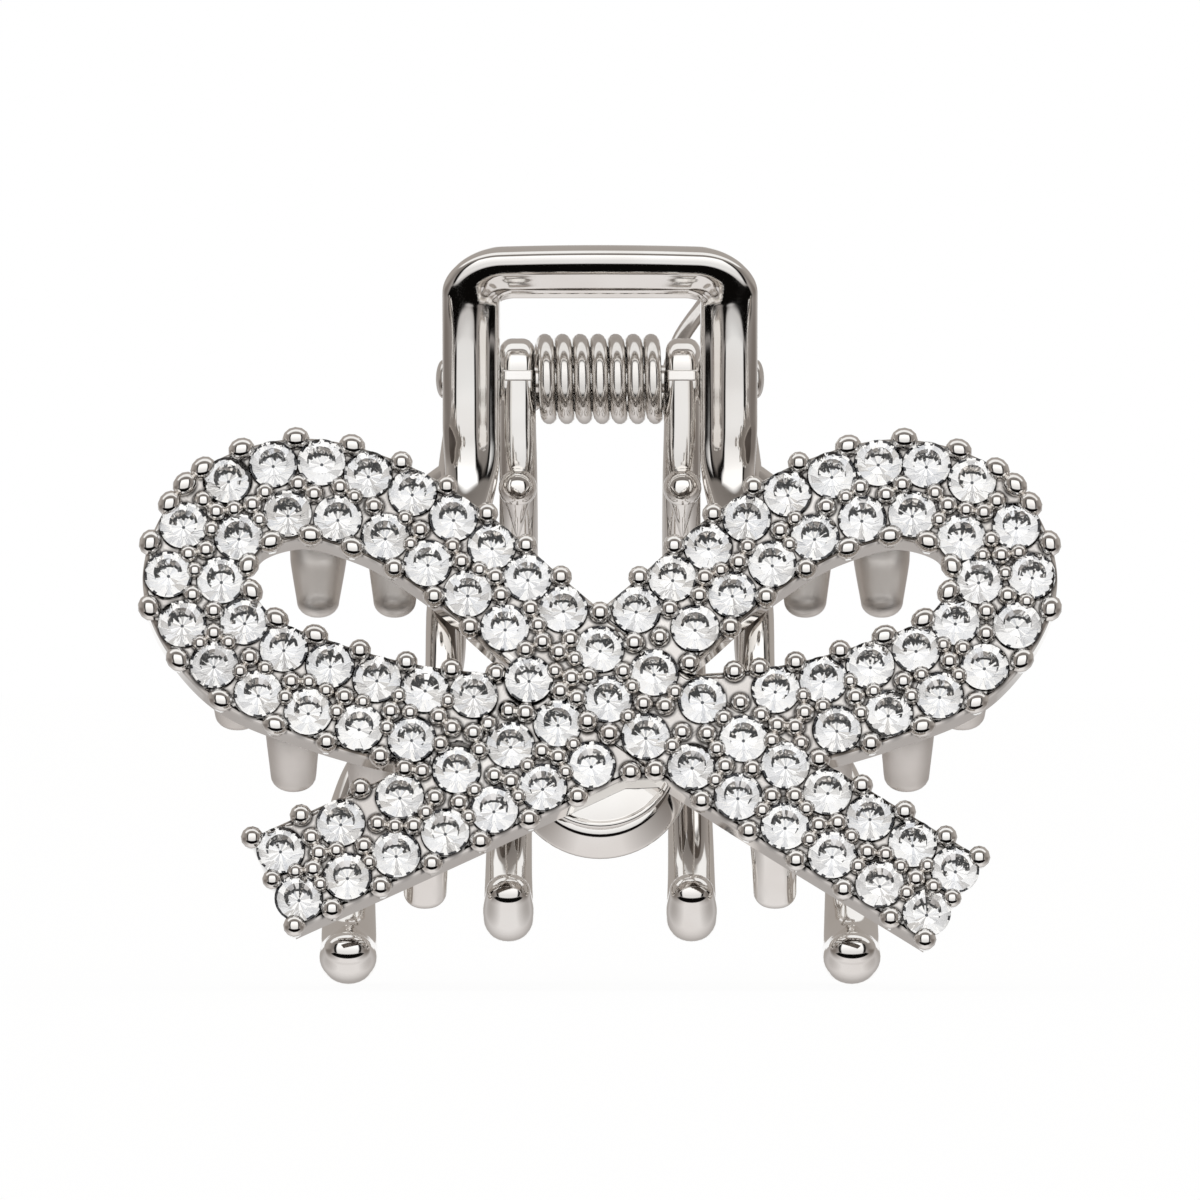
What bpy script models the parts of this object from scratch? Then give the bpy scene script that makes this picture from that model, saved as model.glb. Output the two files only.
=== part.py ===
# Rhinestone bow claw hair clip: two cast jaws on a sprung hinge, a bow set with round stones.
# Sizes are in millimetres and become metres when the meshes are made.
# Jaw places are measured from the hinge axis: X to the right, Y to the back, Z up.

import math

import bmesh
import bpy
import numpy as np
from mathutils import Matrix

MM = 0.001
WELD = 0.000001
SIDES = (("left", -1.0), ("right", 1.0))

# Hinge: its height over the middle of the hair space, the pin and the clearances
HINGE_HEIGHT = 15.0
PIN_RADIUS = 0.7
PIN_HEAD_RADIUS = 0.95
PIN_HEAD_HEIGHT = 0.35
FIT = 0.1
SEAT_GAP = 0.05
HUB_RADIUS = 1.35

# Handle loops: a bar bent round three sides, each loop leaning away from the hinge
HANDLE_WIDTH = 15.85
FRONT_RISE = 7.75
BACK_RISE = 10.4
BAR_WIDTH = 2.85
TOP_BAR_WIDTH = 2.3
BAR_DEPTH = 2.3
BAR_ROUNDING = 0.8
FRONT_LEAN = math.radians(20.0)
BACK_LEAN = math.radians(34.5)
HANDLE_CORNER = 2.25
WINDOW_CORNER = 0.5
FRONT_OFFSET = 2.4
FRONT_LEG = 2.6
BACK_OFFSET = 3.7
BACK_LEG = 4.1
LEG_TAPER = 0.55

# Knuckles of the back jaw, inside the ears of the front jaw
KNUCKLE_WIDTH = 1.65
KNUCKLE_CAP_RADIUS = 1.3
KNUCKLE_CAP_RISE = 0.65
BALL_RADIUS = 0.9

# Torsion spring: close coils round the pin
COIL_RADIUS = 1.775
COIL_PITCH = 0.885
COIL_TURNS = 6.2
WIRE_DIAMETER = 0.45
LEG_RADIUS = 1.95

# Stones and the bow that holds them: the bow is laid out in stone pitches
STONE_PITCH = 2.5
STONE_RADIUS = 0.48 * STONE_PITCH
STONE_SIDES = 8
STONE_CONTACT = 0.03
PAVILION_HEIGHT = 0.95
GIRDLE_HEIGHT = 0.12
CROWN_HEIGHT = 0.36
TABLE_SHARE = 0.56
SEAT_DEPTH = 0.6
ROW_SPACING = 1.055 * STONE_PITCH
BAND_WIDTH = 2.15 * STONE_PITCH
BOW_THICKNESS = 2.2
BOW_TILT = math.radians(15.0)
BOW_FORWARD = 11.5
BOW_DROP = 15.15
BEAD_RADIUS = 0.4
BEAD_RISE = 0.25
LAYER = 0.12

# Round pad of the front jaw and the disc between pad and bow
DISC_RADIUS = 3.9
DISC_THICKNESS = 2.2
PAD_RADIUS = 4.65
PAD_THICKNESS = 1.8
PAD_DROP = 3.0

METAL = (0.80, 0.77, 0.74, 1.0)
STEEL = (0.74, 0.73, 0.72, 1.0)
GLASS = (0.95, 0.97, 1.0, 1.0)


def clear_scene():
    for found in list(bpy.data.objects):
        bpy.data.objects.remove(found, do_unlink=True)


def make_collection(name):
    made = bpy.data.collections.new(name)
    bpy.context.scene.collection.children.link(made)
    return made


def make_material(name, colour, metallic, roughness, transmission=0.0):
    material = bpy.data.materials.new(name)
    material.use_nodes = True
    shader = material.node_tree.nodes["Principled BSDF"]
    shader.inputs["Base Color"].default_value = colour
    shader.inputs["Metallic"].default_value = metallic
    shader.inputs["Roughness"].default_value = roughness
    shader.inputs["Transmission Weight"].default_value = transmission
    return material


def smooth(points, count):
    """Points evenly spaced along a smooth curve that passes through the given points."""
    knots = np.array(points, float)
    steps = np.linalg.norm(np.diff(knots, axis=0), axis=1)
    at = np.concatenate([[0.0], np.cumsum(steps)])
    slopes = np.gradient(knots, at, axis=0)
    t = np.linspace(0.0, at[-1], 40 * len(knots))
    k = np.clip(np.searchsorted(at, t, side="right") - 1, 0, len(steps) - 1)
    s = ((t - at[k]) / steps[k])[:, None]
    h = steps[k][:, None]
    fine = (
        (2 * s**3 - 3 * s**2 + 1) * knots[k]
        + (s**3 - 2 * s**2 + s) * h * slopes[k]
        + (3 * s**2 - 2 * s**3) * knots[k + 1]
        + (s**3 - s**2) * h * slopes[k + 1]
    )
    run = np.concatenate([[0.0], np.cumsum(np.linalg.norm(np.diff(fine, axis=0), axis=1))])
    even = np.linspace(0.0, run[-1], count)
    return np.stack([np.interp(even, run, fine[:, i]) for i in range(fine.shape[1])], axis=1)


def link(name, mesh):
    made = bpy.data.objects.new(name, mesh)
    bpy.context.scene.collection.objects.link(made)
    return made


def curve_to_mesh(name, curve):
    """The curve's solid as a mesh object, with its caps welded to its sides."""
    holder = link(name + "_curve", curve)
    graph = bpy.context.evaluated_depsgraph_get()
    mesh = bpy.data.meshes.new_from_object(holder.evaluated_get(graph))
    bpy.data.objects.remove(holder, do_unlink=True)
    shape = bmesh.new()
    shape.from_mesh(mesh)
    bmesh.ops.remove_doubles(shape, verts=shape.verts, dist=WELD)
    bmesh.ops.recalc_face_normals(shape, faces=shape.faces)
    shape.to_mesh(mesh)
    shape.free()
    return link(name, mesh)


def tube(name, points, radii, resolution=2):
    """A round bar along the points, whose radius may change from point to point."""
    curve = bpy.data.curves.new(name, "CURVE")
    curve.dimensions = "3D"
    curve.bevel_depth = MM
    curve.bevel_resolution = resolution
    curve.use_fill_caps = True
    spline = curve.splines.new("POLY")
    spline.points.add(len(points) - 1)
    for point, place, radius in zip(spline.points, points, radii):
        point.co = (*(np.array(place) * MM), 1.0)
        point.radius = radius
    return curve_to_mesh(name, curve)


def domed(points, radii):
    """The path and its radii, with a round nose added to the far end."""
    nose = math.pi / 2 * np.array([0.36, 0.7, 0.95])
    ahead = points[-1] - points[-2]
    ahead = ahead / np.linalg.norm(ahead)
    end = radii[-1]
    more = points[-1] + end * np.sin(nose)[:, None] * ahead
    return np.vstack([points, more]), np.concatenate([radii, end * np.cos(nose)])


def tooth(name, points, radii, count=9, resolution=2):
    """A tapering bar through the points, with a round nose."""
    path = smooth(points, count)
    along = np.linspace(0.0, 1.0, len(radii))
    widths = np.interp(np.linspace(0.0, 1.0, count), along, radii)
    return tube(name, *domed(path, widths), resolution)


def plate(name, outline, thickness, rounding):
    """A flat piece with the given outline, between z = -thickness and z = 0, edges rounded."""
    curve = bpy.data.curves.new(name, "CURVE")
    curve.dimensions = "2D"
    curve.fill_mode = "BOTH"
    curve.extrude = (thickness / 2 - rounding) * MM
    curve.bevel_depth = rounding * MM
    curve.bevel_resolution = 1
    curve.offset = -rounding * MM
    spline = curve.splines.new("POLY")
    spline.use_cyclic_u = True
    spline.points.add(len(outline) - 1)
    for point, (across, up) in zip(spline.points, outline):
        point.co = (across * MM, up * MM, 0.0, 1.0)
    made = curve_to_mesh(name, curve)
    made.data.transform(Matrix.Translation((0.0, 0.0, -thickness / 2 * MM)))
    return made


def cylinder(name, radius, start, end, sides=16):
    """A straight round piece between two places."""
    start = np.array(start, float)
    end = np.array(end, float)
    return tube(name, np.array([start, end]), np.array([radius, radius]), (sides - 4) // 2)


def ball(name, centre, radius, around=10, up=6):
    shape = bmesh.new()
    place = Matrix.Translation(np.array(centre) * MM)
    bmesh.ops.create_uvsphere(
        shape, u_segments=around, v_segments=up, radius=radius * MM, matrix=place
    )
    mesh = bpy.data.meshes.new(name)
    shape.to_mesh(mesh)
    shape.free()
    return link(name, mesh)


def combine(base, others, operation="UNION"):
    """Joins or cuts the others into the base, and removes them."""
    for other in others:
        step = base.modifiers.new(other.name, "BOOLEAN")
        step.operation = operation
        step.solver = "EXACT"
        step.object = other
    bpy.context.view_layer.update()
    graph = bpy.context.evaluated_depsgraph_get()
    mesh = bpy.data.meshes.new_from_object(base.evaluated_get(graph))
    base.modifiers.clear()
    base.data = mesh
    for other in others:
        bpy.data.objects.remove(other, do_unlink=True)
    return base


def finish(made, name, material, smooth_angle=35.0):
    """Names the sub-part, gives it its material and puts it in the parts collection."""
    made.name = name
    made.data.name = name
    made.data.materials.clear()
    made.data.materials.append(material)
    made.data.shade_smooth()
    made.data.set_sharp_from_angle(angle=math.radians(smooth_angle))
    for found in list(made.users_collection):
        found.objects.unlink(made)
    PARTS.objects.link(made)
    return made


def put_at_hinge(made):
    """Shapes drawn from the hinge axis get their origin there."""
    made.location = (0.0, 0.0, HINGE_HEIGHT * MM)
    return made


def arc(centre, radius, start, end, count=5):
    turn = np.radians(np.linspace(start, end, count))
    return [(centre[0] + radius * math.cos(a), centre[1] + radius * math.sin(a)) for a in turn]


def handle_loop(name, rise, leg):
    """The loop lies flat: X across, Y up from the level of the hinge, legs down to -leg."""
    half = HANDLE_WIDTH / 2
    inner = half - BAR_WIDTH
    low = inner + LEG_TAPER
    outer_corner = arc((half - HANDLE_CORNER, rise - HANDLE_CORNER), HANDLE_CORNER, 0, 90)
    window_top = rise - TOP_BAR_WIDTH
    window_corner = arc((inner - WINDOW_CORNER, window_top - WINDOW_CORNER), WINDOW_CORNER, 90, 0, 3)
    foot = (half + low) / 2
    foot_radius = (half - LEG_TAPER / 2 - low) / 2
    right = [(0.0, window_top)] + window_corner
    right += [(inner, 0.0), (low, -leg + foot_radius)]
    right += arc((foot - LEG_TAPER / 4, -leg + foot_radius), foot_radius, 200, 340)
    right += [(half - LEG_TAPER / 2, -leg + foot_radius), (half, 0.0)] + outer_corner
    left = [(-across, up) for across, up in reversed(right)]
    outline = [(0.0, rise)] + left[:-1] + right
    return plate(name, outline, BAR_DEPTH, BAR_ROUNDING)


def lean(made, offset, angle, way):
    """Stands the flat loop up on the hinge axis, offset from it and leaning forward or back."""
    middle = Matrix.Translation((0.0, 0.0, BAR_DEPTH / 2 * MM))
    stand = Matrix.Rotation(math.radians(90.0), 4, "X")
    away = Matrix.Translation((0.0, way * offset * MM, 0.0))
    tip = Matrix.Rotation(-way * angle, 4, "X")
    made.data.transform(tip @ away @ stand @ middle)
    return made


def bow_matrix():
    """Bow places are across, up in the tilted plane, and out along its face."""
    tilt = BOW_TILT
    axes = Matrix(
        (
            (1.0, 0.0, 0.0, 0.0),
            (0.0, math.sin(tilt), -math.cos(tilt), -BOW_FORWARD * MM),
            (0.0, math.cos(tilt), math.sin(tilt), (HINGE_HEIGHT - BOW_DROP) * MM),
            (0.0, 0.0, 0.0, 1.0),
        )
    )
    return axes


def bow_to_hinge(across, up, out):
    """A place on the bow, measured from the hinge axis in millimetres."""
    return (
        across,
        -BOW_FORWARD + up * math.sin(BOW_TILT) - out * math.cos(BOW_TILT),
        -BOW_DROP + up * math.cos(BOW_TILT) + out * math.sin(BOW_TILT),
    )


def mirrored(points, side):
    return [(side * x, y, z) for x, y, z in points]


def make_front_jaw():
    jaw = lean(handle_loop("front_loop", FRONT_RISE, FRONT_LEG), FRONT_OFFSET, FRONT_LEAN, -1.0)
    half = HANDLE_WIDTH / 2
    inner = half - BAR_WIDTH
    pad_front = -BOW_THICKNESS - 3 * LAYER - DISC_THICKNESS - 2 * SEAT_GAP
    pad_start = bow_to_hinge(0.0, -PAD_DROP, pad_front)
    pad_end = bow_to_hinge(0.0, -PAD_DROP, pad_front - PAD_THICKNESS)
    pieces = [cylinder("pad", PAD_RADIUS, pad_start, pad_end, 32)]
    middle = bow_to_hinge(0.0, -PAD_DROP, pad_front - 0.55 * PAD_THICKNESS)
    bridge = smooth([(-7.9, -7.6, -16.9), (-5.0, -6.0, -18.8), middle,
                     (5.0, -6.0, -18.8), (7.9, -7.6, -16.9)], 13)
    pieces.append(tube("bridge", bridge, np.full(13, 0.85)))
    for name, side in SIDES:
        ear_end = side * (half - 0.1)
        ear_start = side * (inner + FIT)
        reach = -0.55 * FRONT_OFFSET
        pieces.append(cylinder("ear_" + name, HUB_RADIUS, (ear_start, 0, 0), (ear_end, 0, 0)))
        pieces.append(cylinder("ear_root_" + name, 0.8 * HUB_RADIUS, (ear_start, reach, -0.3),
                               (ear_end, reach, -0.3)))
        bar = [(6.55, -1.1, -1.6), (6.75, -1.0, -3.3), (7.4, -3.0, -6.6), (7.8, -6.2, -11.2),
               (7.85, -7.8, -15.5), (8.1, -7.4, -19.5), (8.6, -5.0, -23.6), (8.7, -2.0, -25.75)]
        pieces.append(tooth("bar_" + name, mirrored(bar, side),
                            [0.9, 1.0, 0.9, 0.85, 0.95, 1.05, 1.1, 1.0], 14))
        wing = [(7.85, -7.8, -15.4), (11.5, -7.7, -16.5), (15.3, -7.5, -16.0), (18.3, -7.0, -14.2)]
        pieces.append(tooth("wing_" + name, mirrored(wing, side), [0.9, 0.85, 0.85, 0.95], 7))
        for x, root, tip in ((18.25, -14.2, -17.0), (15.3, -16.0, -20.0), (11.2, -16.4, -21.2)):
            arch = [(x, -7.3, root), (x, -6.4, (root + tip) / 2), (x, -4.2, tip)]
            pieces.append(tooth("tooth_%d_%s" % (x, name), mirrored(arch, side), [1.3, 1.25, 1.0], 5))
    return combine(jaw, pieces)


def make_back_jaw():
    jaw = lean(handle_loop("back_loop", BACK_RISE, BACK_LEG), BACK_OFFSET, BACK_LEAN, 1.0)
    inner = HANDLE_WIDTH / 2 - BAR_WIDTH
    start = inner - FIT - KNUCKLE_WIDTH
    centre = start + KNUCKLE_WIDTH / 2
    pieces = []
    for name, side in SIDES:
        from_x = side * start
        to_x = side * (start + KNUCKLE_WIDTH)
        cap = (-0.35, KNUCKLE_CAP_RISE)
        pieces.append(cylinder("knuckle_" + name, HUB_RADIUS, (from_x, 0, 0), (to_x, 0, 0)))
        pieces.append(cylinder("cap_" + name, KNUCKLE_CAP_RADIUS, (from_x, *cap), (to_x, *cap)))
        rib = [(centre, 0.0, -0.6), (centre, 0.9, -4.0), (4.2, 3.4, -9.5), (4.4, 5.0, -15.5),
               (4.5, 4.4, -21.5), (4.5, 2.2, -25.4), (4.5, -0.5, -27.05), (4.5, -2.4, -26.4)]
        pieces.append(tooth("rib_" + name, mirrored(rib, side),
                            [0.8, 0.82, 0.88, 1.0, 1.1, 1.2, 1.25, 1.2], 15))
        peg = [(centre, 1.6, -5.4), (4.2, -0.9, -5.65)]
        pieces.append(tube("peg_" + name, mirrored(peg, side), [0.5, 0.5]))
        pieces.append(ball("ball_" + name, (side * 4.2, -1.2, -5.65), BALL_RADIUS))
        web = [(centre, 0.7, -2.9), (5.4, 1.9, -2.9), (6.6, 2.9, -2.6)]
        pieces.append(tube("web_" + name, mirrored(web, side), [0.75, 0.75, 0.8]))
        bar = [(6.6, 3.2, -1.6), (7.2, 3.4, -4.5), (7.75, 5.3, -10.0), (7.9, 6.5, -15.0),
               (9.2, 6.6, -17.8), (11.6, 6.5, -19.2), (12.5, 5.9, -21.5), (12.5, 4.4, -25.2),
               (12.5, 2.2, -28.1), (12.5, -0.4, -29.0), (12.5, -2.2, -28.4)]
        pieces.append(tooth("hook_" + name, mirrored(bar, side),
                            [1.0, 1.05, 0.9, 0.95, 1.0, 1.0, 1.1, 1.25, 1.38, 1.4, 1.35], 19))
        wing = [(7.2, 3.5, -4.6), (10.4, 5.2, -6.8), (14.3, 6.4, -7.3)]
        pieces.append(tooth("wing_" + name, mirrored(wing, side), [0.9, 0.85, 0.9], 5))
        for x, y, root in ((10.4, 5.2, -6.8), (14.3, 6.4, -7.3)):
            arch = [(x, y, root), (x, y - 0.1, root - 2.2), (x, y - 1.3, -11.3)]
            pieces.append(tooth("tooth_%d_%s" % (x, name), mirrored(arch, side), [1.3, 1.2, 0.9], 5))
    return combine(jaw, pieces)


def bore(jaw, cutters):
    """The pin's hole, cut through a jaw's hubs."""
    cutter = cylinder("pin_bore", PIN_RADIUS + FIT, (-HANDLE_WIDTH, 0, 0), (HANDLE_WIDTH, 0, 0), 16)
    cutter.hide_render = True
    cutter.display_type = "WIRE"
    put_at_hinge(cutter)
    bpy.context.scene.collection.objects.unlink(cutter)
    cutters.objects.link(cutter)
    step = jaw.modifiers.new("pin_bore", "BOOLEAN")
    step.operation = "DIFFERENCE"
    step.solver = "EXACT"
    step.object = cutter


def make_pin():
    """A straight pin whose two heads stand on the ears' outer faces."""
    face = HANDLE_WIDTH / 2 + SEAT_GAP
    turn = np.linspace(0.0, math.pi / 2, 5)[:-1]
    head = face + PIN_HEAD_HEIGHT * np.sin(turn)
    head_radii = PIN_HEAD_RADIUS * np.cos(turn)
    tip = face + PIN_HEAD_HEIGHT
    right = np.concatenate([[face - 0.03], head, [tip]])
    radii = np.concatenate([[PIN_RADIUS], head_radii, [0.1]])
    stations = np.concatenate([-right[::-1], right])
    path = np.stack([stations, 0 * stations, 0 * stations], axis=1)
    return tube("pin", path, np.concatenate([radii[::-1], radii]), 4)


def spring_path():
    """The wire from the front handle, round the pin in close coils, to the back handle."""
    half_run = COIL_PITCH * COIL_TURNS / 2
    first = math.radians(-40.0)
    last = first + 2 * math.pi * COIL_TURNS
    turn = np.linspace(first, last, round(10 * COIL_TURNS) + 1)
    coil = np.stack([np.linspace(-half_run, half_run, len(turn)),
                     COIL_RADIUS * np.cos(turn), COIL_RADIUS * np.sin(turn)], axis=1)
    ear = HANDLE_WIDTH / 2 - BAR_WIDTH + 0.75
    lift = math.pi / 2 + FRONT_LEAN
    over = np.linspace(math.radians(-10.0), lift, 8)
    wrap = np.stack([np.full(8, -ear), LEG_RADIUS * np.cos(over), LEG_RADIUS * np.sin(over)], axis=1)
    square = np.array([0.0, -math.cos(FRONT_LEAN), -math.sin(FRONT_LEAN)])
    reach = FRONT_OFFSET - BAR_DEPTH / 2 - FIT
    tip = wrap[-1] + reach * square
    behind = smooth([wrap[0], (-ear + 0.8, 1.98, -0.75), (-half_run - 0.9, 1.75, -1.25), coil[0]], 8)
    left = np.vstack([tip, wrap[::-1], behind[1:-1]])
    away = np.array([0.0, math.cos(BACK_LEAN), -math.sin(BACK_LEAN)])
    face = BACK_OFFSET - BAR_DEPTH / 2 - FIT
    climb = 5.7
    rise = np.array([0.0, math.sin(BACK_LEAN), math.cos(BACK_LEAN)])
    rest = np.array([5.75, 0.0, 0.0]) + face * away + climb * rise
    right = smooth([coil[-1], (3.85, 2.55, 1.75), (5.1, 4.1, 3.75), rest - 0.75 * away], 9)
    right = np.vstack([right[1:], rest])
    return np.vstack([left, coil, right])


def least_gap(path, diameter):
    """The smallest distance between parts of the wire that are not neighbours, less its diameter."""
    run = np.concatenate([[0.0], np.cumsum(np.linalg.norm(np.diff(path, axis=0), axis=1))])
    along = np.linspace(0.0, run[-1], 900)
    fine = np.stack([np.interp(along, run, path[:, i]) for i in range(3)], axis=1)
    apart = np.linalg.norm(fine[:, None] - fine[None], axis=2)
    far = np.abs(along[:, None] - along[None]) > 4 * diameter
    return float(apart[far].min() - diameter)


def make_spring():
    path = spring_path()
    print("least gap of the spring wire to itself: %.3f mm" % least_gap(path, WIRE_DIAMETER))
    return tube("spring", path, np.full(len(path), WIRE_DIAMETER / 2), 1)


# Centre lines of the bow's bands in stone pitches, from the middle of the crossing.
# The loop runs from its lower band round its end to the crossing; the tails leave the crossing.
LOOP = [(-2.45, -0.88), (-3.6, -0.74), (-5.5, -0.24), (-7.3, 0.62), (-8.1, 2.1), (-7.45, 3.45),
        (-6.1, 3.96), (-4.45, 3.58), (-2.75, 2.52), (-1.3, 1.22)]
RIGHT_TAIL = [(0.0, 0.12), (2.3, -1.5), (7.0, -4.52)]
LEFT_TAIL = [(0.7, -0.75), (-2.5, -2.28), (-6.5, -4.16)]
LOWER_BAND = [(-3.2, -0.8), (0.0, -0.95), (3.2, -0.8)]
CROSSING = [(0.0, 0.6), (1.08, 0.12), (0.16, -0.43), (2.04, -0.45), (-1.42, -0.02)]


def in_pitches(points, side=1.0):
    return [(side * across * STONE_PITCH, up * STONE_PITCH) for across, up in points]


def sideways(path):
    """Unit vectors at right angles to a path in the bow's plane, to the left of its run."""
    ahead = np.gradient(path, axis=0)
    ahead = ahead / np.linalg.norm(ahead, axis=1)[:, None]
    return np.stack([-ahead[:, 1], ahead[:, 0]], axis=1)


def shifted(path, distance):
    return path + distance * sideways(path)


def band(name, path, depth):
    """A band of the bow along a path, its face the given depth below the bow's face."""
    outline = np.vstack([shifted(path, BAND_WIDTH / 2), shifted(path, -BAND_WIDTH / 2)[::-1]])
    made = plate(name, outline, BOW_THICKNESS, 0.0)
    made.data.transform(Matrix.Translation((0.0, 0.0, -depth * MM)))
    return made


def row(path, distance, first, last, count, crowd=1.0):
    """Stone places along a row, evenly spaced between two lengths of its band in stone pitches."""
    line = shifted(path, distance)
    band_run = np.concatenate([[0.0], np.cumsum(np.linalg.norm(np.diff(path, axis=0), axis=1))])
    line_run = np.concatenate([[0.0], np.cumsum(np.linalg.norm(np.diff(line, axis=0), axis=1))])
    ends = np.interp(np.array([first, last]) * STONE_PITCH, band_run, line_run)
    along = ends[0] + (ends[1] - ends[0]) * np.linspace(0.0, 1.0, count) ** crowd
    places = np.stack([np.interp(along, line_run, line[:, i]) for i in range(2)], axis=1)
    ahead = np.stack([np.interp(along, line_run, np.gradient(line[:, i])) for i in range(2)], axis=1)
    return places, np.arctan2(ahead[:, 1], ahead[:, 0]) + math.pi / STONE_SIDES


def turned(name, profile, sides):
    """A turned solid: the profile runs down its outer side, from the axis back to the axis."""
    mesh = bpy.data.meshes.new(name)
    verts = [(radius * MM, 0.0, height * MM) for radius, height in profile]
    mesh.from_pydata(verts, [(i, i + 1) for i in range(len(verts) - 1)], [])
    made = link(name, mesh)
    screw = made.modifiers.new("turn", "SCREW")
    screw.steps = sides
    screw.render_steps = sides
    screw.use_merge_vertices = True
    screw.merge_threshold = WELD
    bpy.context.view_layer.update()
    graph = bpy.context.evaluated_depsgraph_get()
    shape = bmesh.new()
    shape.from_mesh(bpy.data.meshes.new_from_object(made.evaluated_get(graph)))
    bmesh.ops.remove_doubles(shape, verts=shape.verts, dist=WELD)
    bmesh.ops.recalc_face_normals(shape, faces=shape.faces)
    made.modifiers.clear()
    shape.to_mesh(mesh)
    shape.free()
    return made


def stone_profile(radius):
    """A cut stone: flat table, crown, girdle and pointed pavilion, from the face of its band."""
    girdle = PAVILION_HEIGHT - SEAT_DEPTH
    top = girdle + GIRDLE_HEIGHT + CROWN_HEIGHT
    return [(0.0, top), (TABLE_SHARE * radius, top), (radius, girdle + GIRDLE_HEIGHT),
            (radius, girdle), (0.0, -SEAT_DEPTH)]


def seat_profile(radius, depth):
    """The hollow for a stone's pavilion, deeper than the stone and open through the bow's face."""
    slope = radius / PAVILION_HEIGHT
    deep = SEAT_DEPTH + 2 * SEAT_GAP
    above = depth + 2 * SEAT_GAP
    return [(0.0, above), (slope * (deep + above), above), (0.0, -deep)]


def copies(name, shape, places, turns, depth):
    """One mesh that holds the shape at every place on the bow's face."""
    gathered = bmesh.new()
    for place, turn in zip(places, turns):
        spot = Matrix.Translation((place[0] * MM, place[1] * MM, -depth * MM))
        before = len(gathered.verts)
        gathered.from_mesh(shape)
        gathered.verts.ensure_lookup_table()
        moved = gathered.verts[before:]
        bmesh.ops.transform(gathered, matrix=spot @ Matrix.Rotation(turn, 4, "Z"), verts=moved)
    mesh = bpy.data.meshes.new(name)
    gathered.to_mesh(mesh)
    gathered.free()
    return link(name, mesh)


def stone_layout():
    """Every row of stones: name, places, turns, depth of its band, and whether its girdles touch."""
    out = ROW_SPACING / 2
    rows = []
    for name, side in SIDES:
        path = smooth(in_pitches(LOOP + RIGHT_TAIL, 1.0), 300)
        mirror = np.array([-side, 1.0])
        depth = 0.0 if side < 0 else LAYER
        first = 0 if side < 0 else 1
        runs = (("outer_lower", out, 1.22 + 0.95 * first, 7.71, 8 - first),
                ("outer_upper", out, 8.72, 15.82, 9),
                ("inner_lower", -out, 0.13 + 1.02 * first, 8.12, 8 - first),
                ("inner_upper", -out, 9.62, 15.2, 6))
        for run, distance, start, end, count in runs:
            places, turns = row(path, distance, start, end, count)
            turns = turns if side < 0 else math.pi - turns
            rows.append(("stones_%s_loop_%s" % (name, run), places * mirror, turns, depth, True))
    path = smooth(in_pitches(LOOP + RIGHT_TAIL), 300)
    for name, distance, start, count in (("upper", out, 20.36, 6), ("lower", -out, 18.72, 7)):
        places, turns = row(path, distance, start, 25.37, count)
        rows.append(("stone_right_tail_" + name, places, turns, 0.0, False))
    path = smooth(in_pitches(LEFT_TAIL), 100)
    for name, distance, start, end, count, crowd in (("upper", -out, 1.46, 7.57, 6, 1.1),
                                                     ("lower", out, 1.22, 7.66, 7, 1.0)):
        places, turns = row(path, distance, start, end, count, crowd)
        rows.append(("stone_left_tail_" + name, places, turns, 2 * LAYER, False))
    crossing = np.array(in_pitches(CROSSING))
    rows.append(("stone_crossing", crossing, np.zeros(len(crossing)), 0.0, False))
    return rows


def row_radius(places, touching):
    """Stones that touch reach just past the middle between neighbours, others keep their own size."""
    if not touching:
        return STONE_RADIUS
    steps = np.linalg.norm(np.diff(places, axis=0), axis=1)
    return (steps.max() / 2 + STONE_CONTACT) / math.cos(math.pi / STONE_SIDES)


def make_stones(rows, material):
    """Loop rows are runs of stones that touch at the girdle; every other stone is its own piece."""
    for name, places, turns, depth, touching in rows:
        radius = row_radius(places, touching)
        shape = turned("stone", stone_profile(radius), STONE_SIDES)
        if touching:
            run = copies(name, shape.data, places[::2], turns[::2], depth)
            between = copies("between", shape.data, places[1::2], turns[1::2], depth)
            combine(run, [between])
            run.data.transform(bow_matrix())
            finish(run, name, material, 5.0)
        else:
            for number, (place, turn) in enumerate(zip(places, turns), 1):
                spot = Matrix.Translation((place[0] * MM, place[1] * MM, -depth * MM))
                stone = link(name, shape.data.copy())
                finish(stone, "%s_%d" % (name, number), material, 5.0)
                stone.matrix_world = bow_matrix() @ spot @ Matrix.Rotation(turn, 4, "Z")
        bpy.data.objects.remove(shape, do_unlink=True)


def bead_places(rows):
    """Prong beads between neighbouring stones, on both edges and along the middle of each band."""
    flat = math.cos(math.pi / STONE_SIDES)
    stones = [(place, flat * row_radius(places, touching)) for _, places, _, _, touching in rows
              for place in places]
    left = smooth(in_pitches(LOOP + RIGHT_TAIL), 300)
    right = smooth(in_pitches(LOOP, -1.0), 250)
    tail = smooth(in_pitches(LEFT_TAIL), 100)
    edge = BAND_WIDTH / 2 - 0.1 * BEAD_RADIUS
    chosen = []
    for path, depth in ((left, 0.0), (right, LAYER), (tail, 2 * LAYER)):
        for line in (shifted(path, edge), shifted(path, -edge), path):
            for place in line:
                clear = all(math.dist(place, spot) > reach + BEAD_RADIUS + SEAT_GAP
                            for spot, reach in stones)
                apart = all(math.dist(place, other) > 2 * BEAD_RADIUS + SEAT_GAP for other, _ in chosen)
                if clear and apart:
                    chosen.append((place, depth))
    return chosen


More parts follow.
